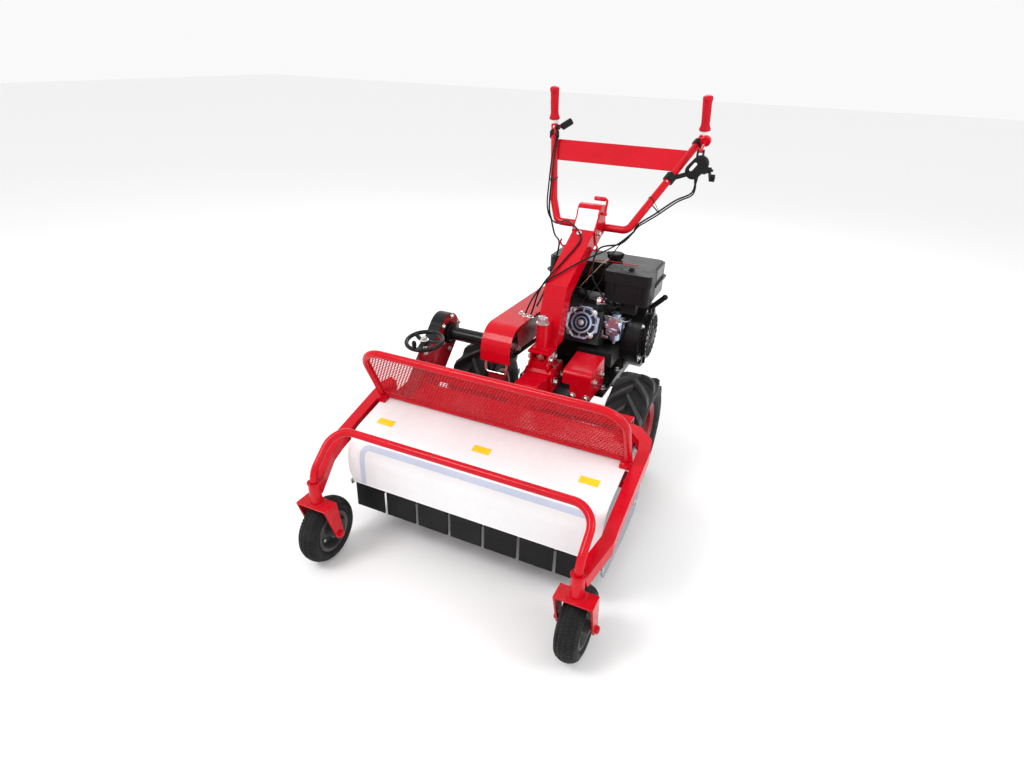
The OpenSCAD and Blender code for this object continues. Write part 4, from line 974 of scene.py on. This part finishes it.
def tank_and_filter():
    seam = [at(x, y, 644) for x, y in ((-120, 856), (244, 856), (261, 873), (261, 1011), (244, 1028),
            (-120, 1028), (-137, 1011), (-137, 873))]
    add("tank_seam", "chassis", swept(seam, [(-0.9, -3.4), (0.9, -3.4), (0.9, 3.4), (-0.9, 3.4)], True),
            "tank_plastic", 0.4)
    ribs = [prism(at(x, 861.2, 606), X, Z, [(0, 0), (4, 0), (4, 30), (0, 30)], 2.4)
            for x in (-100, -60, 180, 220)]
    add("tank_ribs", "chassis", gather(ribs), "tank_plastic", 0.8)
    xz_prism("tank_plate", "chassis", 860.6, 862.4, stadium((10, 670), (100, 670), 13), "black_plastic", 0.6)
    teeth = []
    for k in range(28):
        a = 2 * pi * k / 28
        u = turned_from(X, Y, a)
        teeth.append(prism(at(92, 934, 706) + u * 26 * MM, u, Z.cross(u),
                [(0, -1.4), (1.9, -1.1), (1.9, 1.1), (0, 1.4)], 12))
    add("cap_knurl", "fuel_cap", gather(teeth), "black_plastic", 0.2)
    lathe("cap_dome", "fuel_cap", at(92, 934, 716), Z,
            [(1, 0), (24, 0), (24, 4.2), (21, 6.2), (12, 6.6), (1, 6.6)], "black_plastic")
    lathe("air_filter_knob", "chassis", at(187, 807, 708), Z,
            [(1, 0), (11, 0), (11, 3), (7, 6), (7, 9), (5, 10), (1, 10)], "black_plastic", 6)
    clips = [prism(at(x, 757.5, 652), X, Z, [(-6, -14), (6, -14), (4, 22), (-4, 22)], -2.2) for x in (140, 234)]
    add("air_filter_clips", "chassis", gather(clips), "black_plastic", 0.5)
    vents = [prism(at(124 + 13 * k, 763, 616), X, Z, [(0, 0), (7, 0), (7, 34), (0, 34)], -1.8) for k in range(10)]
    add("air_filter_vents", "chassis", gather(vents), "black_plastic", 0.6)
    tube("tank_red_wire", "chassis",
            points((18, 858, 620), (30, 854, 668), (44, 866, 703), (110, 880, 705), (150, 876, 705),
            (196, 884, 704)), 1.5, "wire_red")
    tube("tank_pale_wire", "chassis",
            points((-6, 850, 600), (24, 850, 640), (52, 852, 676), (74, 870, 705), (84, 892, 706)), 1.3,
            "wire_pale")
    tube("fuel_hose", "chassis", points((120, 872, 592), (126, 846, 578), (150, 822, 560), (160, 800, 548)), 4,
            "belt_rubber")


def fan_details():
    """The recoil cover's louvres, hub and bolts, and the starter's rope and its ribbed pull handle."""
    louvres = []
    for k in range(20):
        a = 2 * pi * k / 20
        u, v = turned_from(Y, Z, a), Z * cos(a) - Y * sin(a)
        louvres.append(prism(at(261, *CRANK), u, v, [(36, -3), (72, -9), (74, -3), (38, 3)],
                3.4 if u.cross(v).x > 0 else -3.4))
    add("recoil_louvres", "chassis", gather(louvres), "black_plastic", 0.8)
    lathe("recoil_hub", "chassis", at(262, *CRANK), X,
            [(1, 0), (30, 0), (30, 2), (26, 4.4), (10, 5.4), (1, 5.4)], "black_plastic")
    spots = [(at(244, 900 + 104 * cos(a), 455 + 104 * sin(a)), X) for a in (0.2, 1.5, 2.5, 3.7, 5.2)]
    bolts("fan_bolts", "chassis", spots, 10)
    a = Vector((49, -10, 53)).normalized()
    start = at(255, 872, 571)
    rope_ends = start - a * 16 * MM, start + a * 24 * MM
    rope_path = [rope_ends[0].lerp(rope_ends[1], k / 24) for k in range(25)]
    rope = mesh_of("starter_rope", *swept(rope_path, ring(1.8, 14)))
    rope.shade_smooth()
    rope.materials.append(M["cable_sheath"])
    rope = bpy.data.objects.new("starter_rope", rope)
    bpy.context.collection.objects.link(rope)
    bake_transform(rope)
    lathe("pull_handle_ribs", "starter_handle", start, a,
          [(5, 1), (9.4, 1), (9.4, 3)] + [(8.7 + 0.6 * (k % 2), 8 + 3.5 * k) for k in range(13)] + [(8.6, 57),
          (5, 57)], "black_plastic")


def engine_details():
    valve_cover()
    carburettor()
    tank_and_filter()
    fan_details()
    shield = [prism(at(-54 + 13 * k, 723.5, 594), X, Z, [(0, 0), (7, 0), (7, 44), (0, 44)], -2.4)
            for k in range(4)]
    add("muffler_louvres", "chassis", gather(shield), "black_paint", 0.9)
    lathe("chrome_sleeve", "chassis", at(96, 756, 601), Vector((36, -6, 6)),
            [(1, 0), (12.2, 0), (14.5, 3), (14.5, 8), (12.6, 11), (12.6, 30), (14, 33), (14, 37), (1, 37)],
            "chrome")
    bolts("muffler_bolts", "chassis", [(at(x, 723.6, 616), -Y) for x in (-48, -6)], 9)
    spots = [(at(x, y, 345), Z) for x in (-96, 176) for y in (640, 800, 1010)]
    bolts("bed_bolts", "chassis", spots, 15)
    back = [prism(at(x, 999, 372), X, Z, [(0, 0), (6, 0), (6, 128), (0, 134)], -9)
            for x in (-44, -8, 28, 64, 100, 136, 172)]
    back += [prism(at(-52, 999, 440), X, Z, [(0, 0), (238, 0), (238, 5), (0, 5)], -7.5)]
    add("crankcase_ribs", "chassis", gather(back), "cast_metal", 1)
    bolts("crankcase_bolts", "chassis",
            [(at(x, 1000 + 6 * (z - 345) / 175, z), Y) for x in (-26, 154) for z in (388, 490)], 12)
    bolts("gearcase_bolts", "chassis", [(at(s * 85, 660 + 60 * cos(a), 198 + 60 * sin(a)), X * s)
                                        for s in (-1, 1) for a in (0.5, 1.55, 2.6, 3.7, 4.7, 5.8)], 13)
    bolts("right_cover_bolts", "chassis",
            [(at(x, 522, 356), -Y) for x in (112, 158)] + [(at(170, y, 400), X) for y in (560, 630)], 13)
    bolts("left_cover_bolts", "chassis",
            [(at(-168, y, z), -X) for y, z in ((560, 440), (700, 500), (860, 520), (920, 400))], 12)
    tube("cover_loop", "chassis", points((-150, 421, 474), (-150, 421, 440), (-146, 421, 432), (-138, 421, 430),
            (-90, 421, 430),
                                         (-82, 421, 432), (-78, 421, 440), (-78, 421, 474)), 3.2, "chrome", 5)
    # The bracket under the left cover takes the darkened red: painted shade under the cover.
    xz_prism("cover_bracket", "chassis", 424, 430, [(-140, 402), (-88, 402), (-82, 426), (-146, 426)],
            "dark_red_paint", 0.8)


# ---------------------------------------------------------------- belt case and hand wheel

SCREW = at(-298, 306, 486)
LEAN = radians(8)
SCREW_UP = Vector((0, -sin(LEAN), cos(LEAN)))
SCREW_BACK = Vector((0, cos(LEAN), sin(LEAN)))


def on_screw(x, y, z):
    return SCREW + (X * x + SCREW_BACK * y + SCREW_UP * z) * MM


def hand_wheel():
    """A moulded wheel with three broad, bent spokes, a crank knob, and a threaded screw through its hub."""
    rim = [on_screw(55 * cos(a), 55 * sin(a), 62) for a in (2 * pi * k / 72 for k in range(72))]
    parts = [swept(rim, ring(6.5, 20), True)]
    for k in range(3):
        a = radians(120 * k + 30)
        d = turned_from(X, SCREW_BACK, a)
        spine = [on_screw(0, 0, 58) + (d * r + SCREW_UP * h) * MM for r,
                h in ((6, 2), (16, 1.5), (28, -3), (42, -1), (53, 3))]
        parts.append(swept(smooth_path(spine, 5),
                [(7.5 * cos(b), 3.6 * sin(b)) for b in (2 * pi * j / 14 for j in range(14))]))
    parts.append(turned(on_screw(0, 0, 50), SCREW_UP,
            [(6.1, 0), (12, 0), (13, 2), (13, 13), (11, 16), (6.1, 16)], 40))
    wheel = add("spoked_wheel", "hand_wheel", gather(parts), "black_paint", smooth=40)
    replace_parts(wheel, "hand_wheel")
    lathe("crank_knob", "hand_wheel", on_screw(0, -55, 66), SCREW_UP,
          [(1, 0), (6, 0), (5, 4), (6.6, 9), (7, 16), (6.4, 22), (4, 25.4), (1, 26)], "black_plastic")
    thread = [(5.9 - 0.9 * (k % 2), -30 + 1.3 * k) for k in range(62)]
    lathe("adjusting_screw", "hand_wheel", on_screw(0, 0, 0), SCREW_UP, [(0.8, -30)] + thread + [(0.8, 50.6)],
            "bolt_zinc", 40)
    bolts("wheel_nut", "hand_wheel", [(on_screw(0, 0, 66), SCREW_UP)], 14)


def belt_case_details():
    spots = []
    for k in range(6):
        a = radians(60 * k + 20)
        spots.append((at(-319.9, 490 + 56 * cos(a), 500 + 56 * sin(a)), X))
    spots += [(at(-319.9, y, z), X) for y, z in ((215, 270), (300, 340), (380, 420), (175, 158))]
    bolts("case_plate_bolts", "chassis", spots, 10)
    bolts("case_outer_bolts", "chassis",
            [(at(-366, 490 + 48 * cos(a), 500 + 48 * sin(a)), -X) for a in (0.4, 1.9, 3.3, 4.8)]
          + [(at(-366, y, z), -X) for y, z in ((300, 330), (190, 160), (230, 220))], 10)
    lathe("case_bearing_cap", "chassis", at(-366, *CROSS), -X,
            [(1, 0), (30, 0), (30, 3), (25, 6), (20, 6.6), (18, 4.4), (1, 4.4)], "black_paint")
    lathe("case_rotor_cap", "chassis", at(-366, *ROTOR), -X, [(1, 0), (34, 0), (34, 3), (29, 6), (1, 6.4)],
            "black_paint")
    for x in (-316, -172):
        lathe(f"tube_flange_{-x}", "chassis", at(x, *CROSS), X,
                [(22.2, 0), (35, 0), (36, 1.5), (36, 5), (34, 6), (22.2, 6)], "black_paint")
    hand_wheel()


dress_nodes()
guard_sheet()
deck_trim()
side_details()
casters()
drive_wheels()
cables()
column_details()
controls()
bail_sleeve()
engine_details()
belt_case_details()
